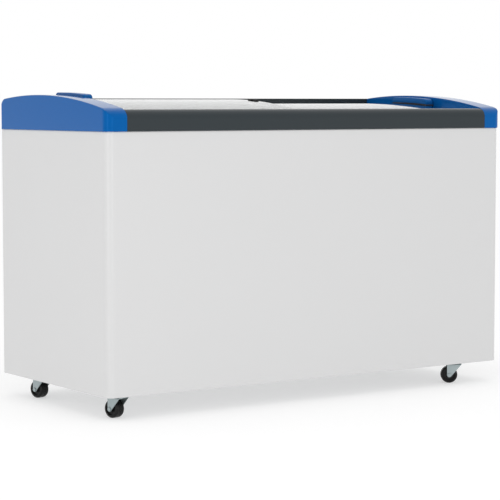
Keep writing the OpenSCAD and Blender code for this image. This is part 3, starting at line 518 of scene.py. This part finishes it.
# Height of the ledge that carries a lid whose edge is at y
def ledgeHeight(radius, y):
    return float(archHeight(radius - arch["glass"], y)) - arch["foot"]


# Cubic curve from a to b, upright at a and with the given slope at b
def noseCurve(a, b, slope, steps, pull=0.56):
    a, b = np.asarray(a, float), np.asarray(b, float)
    up = a + (0, (b[1] - a[1]) * pull)
    back = b - np.array([1, slope]) * (b[0] - a[0]) * pull
    t = np.linspace(0, 1, steps + 1)[:, None]
    return (1 - t) ** 3 * a + 3 * t * (1 - t) ** 2 * up + 3 * t ** 2 * (1 - t) * back + t ** 3 * b


capLo, capHi = boxOf("end_cap_left")
cap = {"corner": 22, "backCorner": 4, "edge": 3.5, "seam": 0.8, "faceTop": 800, "noseEnd": -268,
       "heel": 25, "columns": 8}


# Height of the cap's top at each y: nose, arch, then the heel's quarter circle
def capTopTable():
    front, back, heel = capLo[1], capHi[1], cap["heel"]
    y1 = cap["noseEnd"]
    z1 = archHeight(arch["cap"], y1)
    nose = noseCurve((front, cap["faceTop"]), (y1, z1), -(y1 - arch["y"]) / (z1 - arch["z"]), 60)
    heelY = back - heel
    heelZ = arch["z"] + math.sqrt((arch["cap"] - heel) ** 2 - (heelY - arch["y"]) ** 2)
    meet = math.degrees(math.atan2(heelZ - arch["z"], heelY - arch["y"]))
    rear = arcPoints((heelY, heelZ), heel, meet, 0, 60)
    middle = np.linspace(y1, rear[0, 0], 200)[1:-1]
    return np.concatenate([nose, np.stack([middle, archHeight(arch["cap"], middle)], 1), rear])


topTable = capTopTable()


def capTop(y):
    return np.interp(y, topTable[:, 0], topTable[:, 1])


# Side line of the cap in plan, at x for each y, with a round corner at the front and at the back;
# side is -1 for the line with the lower x. Gives x and the outward normal
def sideLine(y, x, side, frontRadius, backRadius):
    nearFront = np.clip(capLo[1] + frontRadius - y, 0, frontRadius)
    nearBack = np.clip(y - (capHi[1] - backRadius), 0, backRadius)
    pull = (frontRadius - np.sqrt(frontRadius ** 2 - nearFront ** 2)
            + backRadius - np.sqrt(backRadius ** 2 - nearBack ** 2))
    ny = -nearFront / frontRadius + nearBack / backRadius
    nx = side * np.sqrt(np.maximum(1 - ny ** 2, 0))
    return x - side * pull, np.stack([nx, ny], 1)


# Rows run across the cap at each y, from one side line to the other, on the top surface. Between a
# side wall and the top a quadratic curve rounds the edge: from the wall, drawn down by the radius, over
# the sharp corner as its control point, to the row's end. The radius fades where the wall faces forward
def endCap(side):
    front, back, bottom = capLo[1], capHi[1], capLo[2]
    c = cap
    quarter = np.radians(np.linspace(0, 90, 19))
    small = np.radians(np.linspace(0, 90, 4))
    y = np.unique(np.round(np.concatenate([
        front + c["corner"] * (1 - np.cos(quarter)), front + c["seam"] * (1 - np.cos(small)),
        np.linspace(front + c["corner"], c["noseEnd"], 5), np.linspace(c["noseEnd"], back - c["heel"], 44),
        back - c["heel"] * (1 - np.sin(np.radians(np.linspace(0, 90, 13)))),
        back - c["backCorner"] * (1 - np.cos(quarter[::3])), back - c["seam"] * (1 - np.cos(small))]), 4))
    xl, nl = sideLine(y, capLo[0], -1, c["corner"], c["backCorner"])
    xr, nr = sideLine(y, capHi[0], 1, c["seam"], c["seam"])
    z = capTop(y)
    level = np.array([0, 0.06, 0.5, 0.94, 1])[:, None]
    parts, ends = [], []
    for x, n, radius in ((xl, nl, c["edge"]), (xr, nr, c["seam"])):
        d = radius * np.abs(n[:, 0])
        wallTop = np.stack([x, y, z - d], 1)
        corner = np.stack([x, y, z], 1)
        inner = np.stack([x, y], 1) - n * d[:, None]
        inner = np.concatenate([inner, capTop(inner[:, 1])[:, None]], 1)
        t = np.linspace(0, 1, 7)[:, None, None]
        parts.append(sheet((1 - t) ** 2 * wallTop + 2 * t * (1 - t) * corner + t ** 2 * inner))
        parts.append(pointGrid(x, y, bottom + (z - d - bottom) * level))
        ends.append(inner)
    across = np.linspace(0, 1, c["columns"] + 1)
    across = np.concatenate([[0, 0.02], across[1:-1], [0.98, 1]])[:, None]
    rowX, rowY = (ends[0][:, k] + (ends[1][:, k] - ends[0][:, k]) * across for k in (0, 1))
    parts.append(pointGrid(rowX, rowY, capTop(rowY)))
    parts.append(pointGrid(xl + (xr - xl) * across, y, bottom))
    for k in (0, -1):
        parts.append(pointGrid((xl[k] + (xr[k] - xl[k]) * across).T, y[k], bottom + (z[k] - bottom) * level))
    if side > 0:
        parts = [(v * (-1, 1, 1), q, e) for v, q, e in parts]
    return parts


for side, label in ((-1, "Left"), (1, "Right")):
    nodePiece("endCap" + label, "end_cap_" + label.lower(), endCap(side), smooth=40)
print("end caps made")

railLo, railHi = boxOf("front_rail")
rearLo, rearHi = boxOf("rear_rail")
rails = {"frontLip": -275, "lipTop": 825, "lipFlat": 2, "rearLip": 272, "ledge": 12.5, "edgeGap": 2,
         "tub": 242, "endGap": 0.25, "endRound": 0.7}


# The front section: a nose over a plain face, a lip, and two ledges that go down to the tub's mouth
def frontRail():
    r = rails
    front, bottom, faceTop = railLo[1], railLo[2], cap["faceTop"]
    lip, step = r["frontLip"], r["frontLip"] + r["ledge"]
    high = ledgeHeight(arch["upper"], lip + r["edgeGap"])
    low = ledgeHeight(arch["lower"], step + r["edgeGap"])
    nose = noseCurve((front, faceTop), (lip - r["lipFlat"], r["lipTop"]), 0.03, 22)
    inside = [(lip, r["lipTop"]), (lip, high), (step, high), (step, low), (-r["tub"], low),
              (-r["tub"], bottom)]
    corners = [(front, bottom), (front, faceTop - 9), nose[-1]] + inside
    steps = roundedLoop(corners, [0.6, 0, 0, 1.6, 1, 0.8, 0.8, 1, 0.6])
    # corners come six points each; the two sharp ones at the nose give way to its curve
    face = [(front, faceTop - 16), (front, faceTop - 3)]
    return withSupports(np.concatenate([steps[:6], face, nose[:-1], steps[18:]])[::-1])


# The rear section follows the cap's heel behind its lip
def rearRail():
    r = rails
    back, bottom, lip = rearHi[1], rearLo[2], r["rearLip"]
    step = lip - r["ledge"]
    high = ledgeHeight(arch["upper"], lip - r["edgeGap"])
    low = ledgeHeight(arch["lower"], step - r["edgeGap"])
    behind = topTable[topTable[:, 0] > lip + 2.5][::3]
    lipZ = float(archHeight(arch["cap"], lip))
    corners = [(back, bottom), (r["tub"], bottom), (r["tub"], low), (step, low), (step, high), (lip, high),
               (lip, lipZ), (lip + 3, lipZ - 0.3)]
    ring = roundedLoop(corners, [0.6, 0.6, 1, 0.8, 0.8, 1, 0.5, 0])
    # the last corner gives way to the heel's own points
    return withSupports(np.concatenate([ring[:42], behind, topTable[-1:]]))


for name, loop, node in (("frontRail", frontRail(), "front_rail"), ("rearRail", rearRail(), "rear_rail")):
    lo, hi = boxOf(node)
    ends = lo[0] + rails["endGap"], hi[0] - rails["endGap"]
    nodePiece(name, node, [bar(loop, *ends, alongX, rails["endRound"])], smooth=32)
print("rails made")

lids = {"edge": 1.2, "archPoints": 73, "handleY": 16, "handleRise": 19, "handleLength": 165,
        "handleEnd": 12, "handleEdge": 3, "glue": 0.3, "sealRise": 1.8, "sealOverlap": 0.6,
        "sealOut": 0.8}


# The sheet's (y, z) section: two arcs a glass thickness apart, with a half circle over each edge
def glassSheet(node, radius):
    lo, hi = boxOf(node)
    half = arch["glass"] / 2
    y0, y1 = lo[1] + half, hi[1] - half
    y = np.linspace(y0, y1, lids["archPoints"])
    upper = np.stack([y, archHeight(radius, y)], 1)
    lower = np.stack([y, archHeight(radius - 2 * half, y)], 1)[::-1]
    front = arcPoints((y0, archHeight(radius - half, y0)), half, 270, 90, 8)[1:-1]
    rear = arcPoints((y1, archHeight(radius - half, y1)), half, 90, -90, 8)[1:-1]
    return bar(np.concatenate([front, upper, rear, lower]), lo[0], hi[0], alongX, lids["edge"], 4)


# Handle: an arched bar between two heights over the glass, with round upper ends
def handleLoop(radius, low, high, length, end):
    r0, r1 = radius + low, radius + high
    c = np.array([arch["y"], arch["z"]])
    y = lids["handleY"]
    half = math.degrees(math.asin(length / 2 / r1))
    mid = math.degrees(math.atan2(float(archHeight(r1, y)) - arch["z"], y - arch["y"]))
    turn = math.degrees(math.asin(end / (r1 - end)))
    a0, a1 = mid + half, mid - half
    frontEnd = arcPoints(c, r1 - end, a0 - turn, a0 - turn, 0)[0]
    rearEnd = arcPoints(c, r1 - end, a1 + turn, a1 + turn, 0)[0]
    return np.concatenate([arcPoints(frontEnd, end, a0 + 90 - turn, a0 - turn, 10),
                           arcPoints(c, r1, a0 - turn, a1 + turn, 24)[1:-1],
                           arcPoints(rearEnd, end, a1 + turn, a1 - 90 + turn, 10),
                           arcPoints(c, r0, a1, a0, 24)])


for label, radius in (("left", arch["upper"]), ("right", arch["lower"])):
    body = "lid_" + label
    title = label.capitalize()
    nodePiece("glass" + title, body + "_glass", [glassSheet(body + "_glass", radius)], smooth=35)
    lo, hi = boxOf(body + "_handle")
    seat, out, length = lids["glue"] + lids["sealRise"], lids["sealOut"], lids["handleLength"]
    grip = handleLoop(radius, seat, lids["handleRise"], length, lids["handleEnd"])
    nodePiece("handle" + title, body + "_handle", [bar(grip, lo[0], hi[0], alongX, lids["handleEdge"], 5)],
              material=finishes["handle_blue"], smooth=35)
    seal = handleLoop(radius, lids["glue"], seat + lids["sealOverlap"], length + 2 * out, 1)
    piece("handleSeal" + title, [bar(seal, lo[0] - out, hi[0] + out, alongX, 0.5)], body, "rubber", smooth=35)
print("lids made")

bumperLo, bumperHi = boxOf("lid_left_bumper")
bumper = {"padLength": 16, "rise": 4, "lip": 3.2, "glue": 0.3, "round": 1, "draw": 0.9}


# Each pad is an angle section (x, height over the glass) carried along y, its height following the arch
def bumperPads():
    b = bumper
    x0, x1 = bumperLo[0], bumperHi[0]
    edgeX = x1 - b["lip"]
    section = roundedLoop([(x0, b["glue"]), (edgeX, b["glue"]), (edgeX, -arch["glass"]), (x1, -arch["glass"]),
                           (x1, b["rise"]), (x0, b["rise"])], [0.3, 0.2, 0.6, 1, 1.2, 1])
    a = np.linspace(0, np.pi / 2, 4)
    near, draw = b["round"] * (1 - np.cos(a)), b["draw"] * (1 - np.sin(a))
    depth = np.concatenate([draw, draw[::-1]])
    parts = []
    for y0 in (bumperLo[1], bumperHi[1] - b["padLength"]):
        station = np.concatenate([y0 + near, (y0 + b["padLength"] - near)[::-1]])
        rings = np.stack([levelLoop(section, d, y) for d, y in zip(depth, station)])
        rings[:, :, 1] += archHeight(arch["upper"], station)[:, None]
        parts.append(loft(rings[:, :, [0, 2, 1]]))
    return parts


nodePiece("lidBumper", "lid_left_bumper", bumperPads())

# Heights are over the floor, radii and the washers' and rivet's profiles about their own axis
caster = {"radius": 25, "halfWidth": 15, "shoulder": 6, "hubRadius": 9, "hubHalf": 16.7,
          "rimRadius": 17, "web": 5, "bore": 4.05, "trail": 22, "forkInner": 17,
          "forkThickness": 2, "forkTop": 58.5, "forkEdge": 0.45, "boss": 7, "foreX": -15,
          "rearX": 29, "bend": 3, "plateSize": 62, "plateCorner": 5, "plateLow": 63.5,
          "plateHigh": 66, "boltPlace": 22.5,
          "race": [(0, 58.9), (13, 58.9), (15.2, 59.3), (16.4, 60.2), (18.2, 61.2), (19, 62.4),
                   (19.6, 63.6), (0, 63.6)],
          "rivet": [(0, 52.6), (4.5, 52.6), (6.6, 53.2), (7.8, 54.4), (7.8, 55.2), (0, 55.2)],
          "axleWasher": [(0, 0), (5.9, 0), (6.2, 0.3), (6.2, 0.6), (5.9, 0.8), (0, 0.8)],
          "plateWasher": [(0, 0), (6, 0), (6.3, 0.25), (6, 0.6), (0, 0.6)],
          "grooves": [(0, 6.6), (-0.9, 6.1), (-0.9, 5.4), (0, 4.9), (0, 1.3), (-0.3, 0.9), (-1.2, 0.6)]}
casterLabels = ("front_left", "front_right", "rear_left", "rear_right")


# Half of the wheel's (radius, width) outline from bore to tread, then the same mirrored
def wheelProfile():
    c = caster
    r, h, hub, rim = c["radius"], c["halfWidth"], c["hubRadius"], c["rimRadius"]
    face, web, end = c["hubHalf"], h - c["web"], c["shoulder"]
    half = np.concatenate([
        [[c["bore"], face], [hub - 0.6, face], [hub, face - 0.6], [hub, web + 0.8], [hub + 0.8, web]],
        [[rim - 0.8, web], [rim, web + 0.8], [rim, h - 0.6], [rim + 0.6, h]],
        arcPoints((r - end, h - end), end, 90, 0, 10), np.array(c["grooves"]) + (r, 0)])
    return np.concatenate([half, half[::-1] * (1, -1)])


# Bolt head: rings of a hexagon or a circle, the top chamfered toward a smaller circle. A hexagon's
# reach at an angle is its flat's distance / cos(angle from the flat's middle)
def boltHead(axes, radius, height, hexagon, start, count=48):
    angle = np.arange(count) * 2 * np.pi / count
    sixth = math.pi / 6
    apothem = radius * math.cos(sixth)
    reach = apothem / np.cos((angle + sixth) % (2 * sixth) - sixth) if hexagon else np.full(count, radius)
    flat = apothem if hexagon else radius - 0.6
    rows = [(0, 0), (reach, 0), (reach, height * 0.72),
            (np.minimum(reach, flat + (radius - flat) * 0.45), height * 0.88),
            (np.minimum(reach, flat) - 0.15, height), (0, height)]
    rings = [np.stack(np.broadcast_arrays(q * np.cos(angle), q * np.sin(angle), start + h), 1)
             for q, h in rows]
    return loft(placed(np.stack(rings), axes), caps=False)


# Yoke: a strip bent to an upside-down U, seen along the trail, whose width follows the outline of
# its legs: at each height the strip runs from the front edge line to the rear one, which meet below the
# axle in the boss's circle. Each line leaves that circle as a tangent, at the angle to the line's top
# plus or minus acos(boss radius / distance)
def forkSheet(axes):
    c = caster
    axle = np.array([c["trail"], c["radius"]])
    top = c["forkTop"] - c["forkThickness"] / 2
    outer = c["forkInner"] + c["forkThickness"] / 2
    bend = c["bend"]
    lines = []
    for x, side, first in ((c["foreX"], 1, 270), (c["rearX"], -1, -90)):
        d = np.array([x, top]) - axle
        meet = math.degrees(math.atan2(d[1], d[0]) + side * math.acos(c["boss"] / np.linalg.norm(d)))
        last = meet % 360 if side > 0 else (meet + 90) % 360 - 90
        lines.append(np.concatenate([arcPoints(axle, c["boss"], first, last, 12), [[x, top]]]))
    heights = np.concatenate([axle[1] - c["boss"] * np.cos(np.radians(np.linspace(0, 75, 8))),
                              np.linspace(axle[1] + 1, top - bend - 1, 8), [top - bend]])
    leg = np.stack([np.full(len(heights), outer), heights], 1)
    curve = arcPoints((outer - bend, top - bend), bend, 0, 90, 6)[1:]
    right = np.concatenate([leg, curve, [[outer - bend - 2, top]]])
    line = np.concatenate([right, right[::-1] * (-1, 1)])
    front, rear = (np.interp(line[:, 1], edge[:, 1], edge[:, 0]) for edge in lines)
    t = np.concatenate([[0, 0.04], np.linspace(0.15, 0.85, 5), [0.96, 1]])[:, None]
    x = front + (rear - front) * t
    return sheet(placed(np.stack(np.broadcast_arrays(x, line[:, 0], line[:, 1]), 2), axes))


def makeCaster(label):
    c = caster
    title = camel("_" + label)
    pivot, hub = (np.array(joints[kind + label]["pos_m"]) / mm for kind in ("swivel_", "roll_"))
    across = np.array(joints["roll_" + label]["axis"])
    trail = unit((hub - pivot) * (1, 1, 0))
    origin = (pivot[0], pivot[1], 0)
    wheelAxes = axesAt(hub, trail, (0, 0, 1), across)
    nodePiece("wheel" + title, "caster_wheel_" + label, [turned(wheelProfile(), wheelAxes, 96, closed=True)],
              smooth=28)
    yoke = nodePiece("fork" + title, "caster_fork_" + label, [forkSheet(axesAt(origin, trail, across))],
                     outward=False, smooth=32)
    thicken(yoke, c["forkThickness"], 0)
    softenEdges(yoke, c["forkEdge"])
    outer = c["forkInner"] + c["forkThickness"]
    shaft = [(0, -outer - 1), (4, -outer - 1), (4, outer + 1), (0, outer + 1)]
    head = axesAt(hub + across * (outer + 0.2), trail, (0, 0, 1), across)
    nut = axesAt(hub - across * (outer + 0.2), trail, (0, 0, -1), -across)
    nodePiece("axle" + title, "caster_axle_" + label, [
        turned(shaft, wheelAxes, 32), turned(c["axleWasher"], head, 40), boltHead(head, 5.2, 2.5, False, 0.3),
        turned(c["axleWasher"], nut, 40), boltHead(nut, 5.4, 2.6, True, 0.2)])
    square = c["plateSize"] / 2
    plate = withSupports(roundedLoop(rectangle(-square, -square, square, square), c["plateCorner"], 6))
    base = axesAt(origin)
    nodePiece("plate" + title, "caster_plate_" + label,
              [bar(plate, c["plateLow"], c["plateHigh"], base, 0.5), turned(c["race"], base, 64),
               turned(c["rivet"], base, 40)])


for label in casterLabels:
    makeCaster(label)


def casterBolts():
    reach = caster["boltPlace"]
    shank = [(0, -17), (2.8, -17), (2.8, 0.3), (0, 0.3)]
    parts = []
    for label in casterLabels:
        x, y = np.array(joints["swivel_" + label]["pos_m"][:2]) / mm
        for dx, dy in ((-reach, -reach), (-reach, reach), (reach, -reach), (reach, reach)):
            down = axesAt((x + dx, y + dy, caster["plateLow"]), (1, 0, 0), (0, -1, 0), (0, 0, -1))
            parts += [turned(caster["plateWasher"], down, 32), boltHead(down, 5, 2.6, True, 0.4),
                      turned(shank, down, 24)]
    return parts


nodePiece("casterBolts", "caster_bolts", casterBolts())
print("casters made")

grille = {"frame": 12, "face": 2.6, "slats": 9, "corner": 4, "bladeIn": 7, "bladeThick": 1.5,
          "screwPlace": 6}
backLo, backHi = boxOf("rear_grille")
grillePanels = {"side": (axesAt((shellHi[0], grilleHi[1], grilleLo[2]), (0, -1, 0), (0, 0, 1), (1, 0, 0)),
                         grilleHi[1] - grilleLo[1], grilleHi[2] - grilleLo[2]),
                "rear": (axesAt((backHi[0], shellHi[1], backLo[2]), *outBack),
                         backHi[0] - backLo[0], backHi[2] - backLo[2])}


# A louvred panel in its own axes: u along it, v up, w out of the wall. The frame is a section carried
# round the opening, and each blade is a slanted strip with round edges
def louvres(axes, length, height):
    g = grille
    f, face, t = g["frame"], g["face"], g["bladeThick"]
    section = [(0, 0), (0, face - 0.8), (0.3, face - 0.3), (0.9, face), (f - 3.5, face),
               (f - 1.8, face - 0.4), (f + 0.2, 0.9), (f + 1, -2), (f + 0.3, -2), (f + 0.3, 0)]
    outer = roundedLoop(rectangle(0, 0, length, height), g["corner"], 6)
    parts = [carried(section, withSupports(outer, 5), axes)]
    pitch = (height - 2 * f) / g["slats"]
    origin, (u, v, w) = axes
    for low in f + 0.5 + pitch * np.arange(g["slats"]):
        inner = low + pitch * 0.75
        blade = roundedLoop([(low, face - 0.2), (low + t * 1.2, face - 0.2), (inner + t, -g["bladeIn"]),
                             (inner - t * 0.4, -g["bladeIn"])], 0.5, 3)
        parts.append(bar(blade, f + 0.4, length - f - 0.4, axesAt(origin, v, w, u), 0.2, 2))
    return parts


for label, panel in grillePanels.items():
    nodePiece(label + "Grille", label + "_grille", louvres(*panel))


# Pan head with a round socket, drawn outward from the face
def panScrew(axes, radius, rise, start):
    socket = radius * 0.38
    dome = arcPoints((0, 0), 1, 0, 70, 5) * (radius - socket * 0.2, rise) + (0, start)
    profile = np.concatenate([
        [[0, start - 8], [radius * 0.5, start - 8], [radius * 0.5, start - 0.3], [radius, start - 0.3]], dome,
        [[socket, start + rise * 0.96], [socket, start + rise * 0.25], [0, start + rise * 0.2]]])
    return turned(profile, axes, 36)


def grilleScrews():
    near = grille["screwPlace"]
    return [panScrew((origin + basis[0] * u + basis[1] * v, basis), 3.2, 1.2, 1.8)
            for (origin, basis), length, height in grillePanels.values()
            for u in (near, length - near) for v in (near, height - near)]


nodePiece("grilleScrews", "grille_screws", grilleScrews())

controls = {"cup": 24, "flange": 28, "wall": 2, "depth": 20, "housing": 17.8, "housingDepth": 22,
            "knob": 17, "stem": 3, "gripHalf": 3, "ribs": 36, "ticks": 9, "tickRadius": 25,
            "travel": 270}
cupAxes = axesAt((shellHi[0], cupY, cupZ), *outRight)


# Axes at a radius and an angle round the dial, with u outward and v along the circle
def dialAxes(radius, angle):
    out = np.array([0, math.cos(angle), math.sin(angle)])
    side = np.array([0, -math.sin(angle), math.cos(angle)])
    return axesAt(cupAxes[0] + out * radius, out, side, (1, 0, 0))


# The cup is a turned wall with a rolled flange, and the switch's square housing sits behind it
def thermostatCup():
    c = controls
    cup, flange, depth, half = c["cup"], c["flange"], c["depth"], c["housing"]
    inner = cup - c["wall"]
    profile = [(3.1, -depth + 2), (inner - 1.5, -depth + 2), (inner - 0.4, -depth + 2.5),
               (inner, -depth + 3.6), (inner, 1), (inner + 0.4, 1.7), (inner + 1, 2), (flange - 1.2, 2),
               (flange - 0.4, 1.5), (flange, 0.8), (flange - 0.2, 0.2), (cup, 0.2), (cup, -depth),
               (3.1, -depth)]
    housing = withSupports(roundedLoop(rectangle(-half, -half, half, half), 2.5, 4))
    return [turned(profile, cupAxes, 72, closed=True),
            bar(housing, -depth - c["housingDepth"], -depth - 0.1, cupAxes, 1)]


# Ticks follow the knob's travel from its rest, each wider than the one before
def dialTicks():
    c = controls
    parts = []
    for k in range(c["ticks"]):
        size = 0.5 + 0.09 * k
        loop = roundedLoop(rectangle(-1.6, -size, 1.6, size), 0.3, 3)
        axes = dialAxes(c["tickRadius"], -math.radians(c["travel"] * k / (c["ticks"] - 1)))
        parts.append(bar(loop, 1.8, 2.35, axes, 0.15, 2))
    return parts


# A stem and a round skirt, a grip across it, and small ribs round the skirt
def thermostatKnob():
    c = controls
    r, stem, half = c["knob"], c["stem"], c["gripHalf"]
    back = -c["depth"] - 10
    skirt = [(0, back), (stem, back), (stem, -14), (r - 0.6, -14), (r, -13.4), (r, -6.4), (r - 0.3, -5.6),
             (r - 1, -5), (r - 4, -4.8), (0, -4.8)]
    grip = withSupports(roundedLoop(rectangle(-r + 2.2, -half, r - 2.2, half), 2.8, 6))
    rib = roundedLoop([(-0.4, -0.45), (0.45, -0.45), (0.45, 0.45), (-0.4, 0.45)], 0.2, 2)
    return [turned(skirt, cupAxes, 72), bar(grip, -5.2, 0.9, cupAxes, 1.2, 4)] + [
        bar(rib, -13, -6.6, dialAxes(r, a), 0.2, 1) for a in np.arange(c["ribs"]) * 2 * np.pi / c["ribs"]]


nodePiece("thermostatCup", "thermostat_cup", thermostatCup())
piece("dialTicks", dialTicks(), "cabinet", "white_plastic")
nodePiece("thermostatKnob", "thermostat_knob", thermostatKnob())
pointer = roundedLoop(rectangle(controls["knob"] - 7.5, -0.6, controls["knob"] - 3.2, 0.6), 0.4, 3)
piece("knobPointer", [bar(pointer, 0.6, 1, cupAxes, 0.1, 1)], "knob", "black_plastic")

lamp = {"radius": 5.4, "behind": 12, "straight": 0.9, "dome": 1.9}
lampAxes = axesAt((shellHi[0], cupY, lampZ), *outRight)
lens = arcPoints((0, 0), 1, 0, 90, 8) * (lamp["radius"], lamp["dome"]) + (0, lamp["straight"])
lens = np.concatenate([[[0, -lamp["behind"]], [lamp["radius"], -lamp["behind"]], lens[0]], lens])
nodePiece("lampLens", "indicator_lamp", [turned(lens, lampAxes, 40)])
bezel = [(5.5, 0.2), (7.8, 0.2), (8, 0.5), (7.9, 1.1), (7.2, 1.8), (6.2, 1.8), (5.5, 1.2)]
piece("lampBezel", [turned(bezel, lampAxes, 48, closed=True)], "cabinet", "black_plastic")

glandLo, glandHi = boxOf("cord_gland")
glandX, _, glandZ = (glandLo + glandHi) / 2
glandAxes = axesAt((glandX, shellHi[1], glandZ), (1, 0, 0), (0, 0, -1), (0, 1, 0))
gland = [(4, -5.6), (4.4, -6), (7.8, -6), (7.8, -1), (7.9, 0.1), (11.6, 0.1), (12, 0.6),
         (11.8, 1.3), (10.6, 2), (8, 2.5), (5.2, 2.5), (4.3, 2.2), (4, 1.6)]
nodePiece("cordGland", "cord_gland", [turned(gland, glandAxes, 56, closed=True)])

spoutLo, spoutHi = boxOf("drain_spout")
drainX, drainY, _ = (spoutLo + spoutHi) / 2
low, high = spoutLo[2], spoutHi[2]
spout = [(8, low + 0.5), (8.5, low), (9.6, low), (10, low + 0.6), (10, low + 4), (10, low + 5),
         (10, low + 9), (10, low + 10), (10, high - 1.4), (17.4, high - 1.4), (18, high - 1),
         (17.6, high - 0.3), (16.8, high), (9.4, high), (8.4, high - 0.3), (8, high - 1)]
nodePiece("drainSpout", "drain_spout", [turned(spout, axesAt((drainX, drainY, 0)), 64, closed=True)])
mergedCopy("drainPlug", "drain_plug", 40, 0.4)
print("fittings made")

back = {"screws": 6, "topScrews": 7, "topReach": 560, "inset": 6.5, "sideEnd": 40, "fold": 12,
        "rise": 0.8, "lift": 0.05}


# A folded steel strip over each upright edge of the back panel, and one along its top
def backFolds():
    b = back
    x, y, z = shellHi
    parts = []
    for side in (-1, 1):
        x0, x1 = sorted((side * x, side * (x - b["fold"])))
        loop = roundedLoop(rectangle(x0, y + b["lift"], x1, y + b["rise"]), 0.3, 3)
        parts.append(bar(loop, shellLo[2] + 1, z - 0.5, alongZ, 0.25, 2))
    end = x - b["fold"] - 0.3
    loop = roundedLoop(rectangle(-end, z - b["fold"], end, z - 0.5), 0.5, 3)
    outward = axesAt((0, y + b["lift"], 0), (1, 0, 0), (0, 0, 1), (0, 1, 0))
    return parts + [bar(loop, 0, b["rise"] - b["lift"], outward, 0.25, 2)]


def backScrews():
    b = back
    x, y, z = shellHi
    heights = np.linspace(shellLo[2] + b["sideEnd"], z - b["sideEnd"], b["screws"])
    places = [(side * (x - b["inset"]), up) for side in (-1, 1) for up in heights]
    along = np.linspace(-b["topReach"], b["topReach"], b["topScrews"])
    places += [(u, z - b["inset"]) for u in along]
    return [panScrew(axesAt((u, y, v), *outBack), 3.6, 1.5, 0.9) for u, v in places]


piece("backFolds", backFolds(), "cabinet", "painted_body")
piece("backScrews", backScrews(), "cabinet", "zinc")

# Nodes whose shape is right, copied with joined corners: the angle that stays smooth, the soft edge, and
# a name where it isn't the node's own
copies = {"inner_liner": (30, 0, "tubLiner"), "breaker_trim": (30, 0.8),
          "compressor_shell": (35, 0, "compressor"), "start_relay_cover": (35, 2, "relayCover")}
for place in ("left_front", "left_rear", "right_front", "right_rear"):
    copies["lid_" + place + "_runner"] = (35, 0.6, camel("runner_" + place))
for node in ("filter_drier", "suction_line", "discharge_line", "capillary_tube", "compressor_grommets"):
    copies[node] = (40, 0)
for node, (smooth, edge, *name) in copies.items():
    mergedCopy(name[0] if name else camel(node), node, smooth, edge)

# Every node that still shows its own mesh gets its finish
for node, obj in frame["nodes"].items():
    if node not in finished:
        obj.data.materials.clear()
        obj.data.materials.append(finishes[slotOf[node]])
print("nodes replaced:", len(finished), "nodes kept:", len(frame["nodes"]) - len(finished))

scene = bpy.context.scene
scene.view_settings.view_transform = "Standard"
scene.view_settings.look = "None"

# Lengths of the stage are in metres. The backdrop is the part of the room behind the freezer, lit
# brighter than the rest: its strength rises with the direction's dot product with `behind`
room = {"floor": 60, "floorColour": 0.55, "floorGlow": 0.50, "world": 0.80, "backdrop": 1,
        "behind": (0.563, 0.826, 0), "rise": (0.55, 0.9)}
corner = (-0.66, -0.28, 0.5)  # the body's front left edge, half way up
lamps = {"overhead": {"place": (0, 0, 3.2), "target": (0, 0, 0), "size": (4.5, 3.5), "power": 8},
         "leftStrip": {"place": (-3.25, -1.80, 1), "target": corner, "size": (0.6, 2.2), "power": 11},
         "rightStrip": {"place": (-0.33, -3.26, 1), "target": corner, "size": (0.5, 2.2), "power": 9}}

floorMesh = bpy.data.meshes.new("floor")
floorCorners = [(x, y, 0) for x, y in rectangle(-room["floor"], -room["floor"], room["floor"], room["floor"])]
floorMesh.from_pydata(floorCorners, [], [(0, 1, 2, 3)])
floorPiece = addObject("floor", floorMesh)
# The floor glows evenly (floorGlow): painted light that lifts the freezer's shadow on the floor
floorMesh.materials.append(newMaterial("paleFloor", [room["floorColour"]] * 3, Roughness=0.9,
                                       Emission_Color=(1, 1, 1, 1), Emission_Strength=room["floorGlow"])[0])

world = bpy.data.worlds.new("studio")
world.use_nodes = True
sky = world.node_tree
background = sky.nodes["Background"]
background.inputs["Color"].default_value = (1, 1, 1, 1)
direction = nodeAt(sky, "ShaderNodeTexCoord")
facing = nodeAt(sky, "ShaderNodeVectorMath", operation="DOT_PRODUCT")
facing.inputs[1].default_value = room["behind"]
behind = nodeAt(sky, "ShaderNodeMapRange", From_Min=room["rise"][0], From_Max=room["rise"][1],
                To_Min=room["world"], To_Max=room["backdrop"])
brighter = mathAt(sky, "MAXIMUM")
seen = nodeAt(sky, "ShaderNodeLightPath")
wire(sky, (direction, "Generated", facing, 0), (facing, "Value", behind, "Value"),
     (behind, "Result", brighter, 0), (seen, "Is Camera Ray", brighter, 1),
     (brighter, 0, background, "Strength"))
scene.world = world


def areaLight(name, place, target, size, power):
    data = bpy.data.lights.new(name, "AREA")
    data.shape, data.size, data.size_y, data.energy = "RECTANGLE", *size, power
    light = addObject(name, data)
    light.location = place
    light.rotation_euler = (Vector(target) - Vector(place)).to_track_quat("-Z", "Y").to_euler()
    return light


[areaLight(name, **values) for name, values in lamps.items()]

view = {"place": (-3.19384, -4.65141, 0.84601), "yaw": 34.279, "pitch": 4.438, "lens": 137.90, "sensor": 36}
cameraData = bpy.data.cameras.new("camera")
cameraData.lens, cameraData.sensor_width = view["lens"], view["sensor"]
camera = addObject("camera", cameraData)
camera.location = view["place"]
camera.rotation_euler = (math.radians(90 - view["pitch"]), 0, -math.radians(view["yaw"]))
scene.camera = camera
print("stage set")
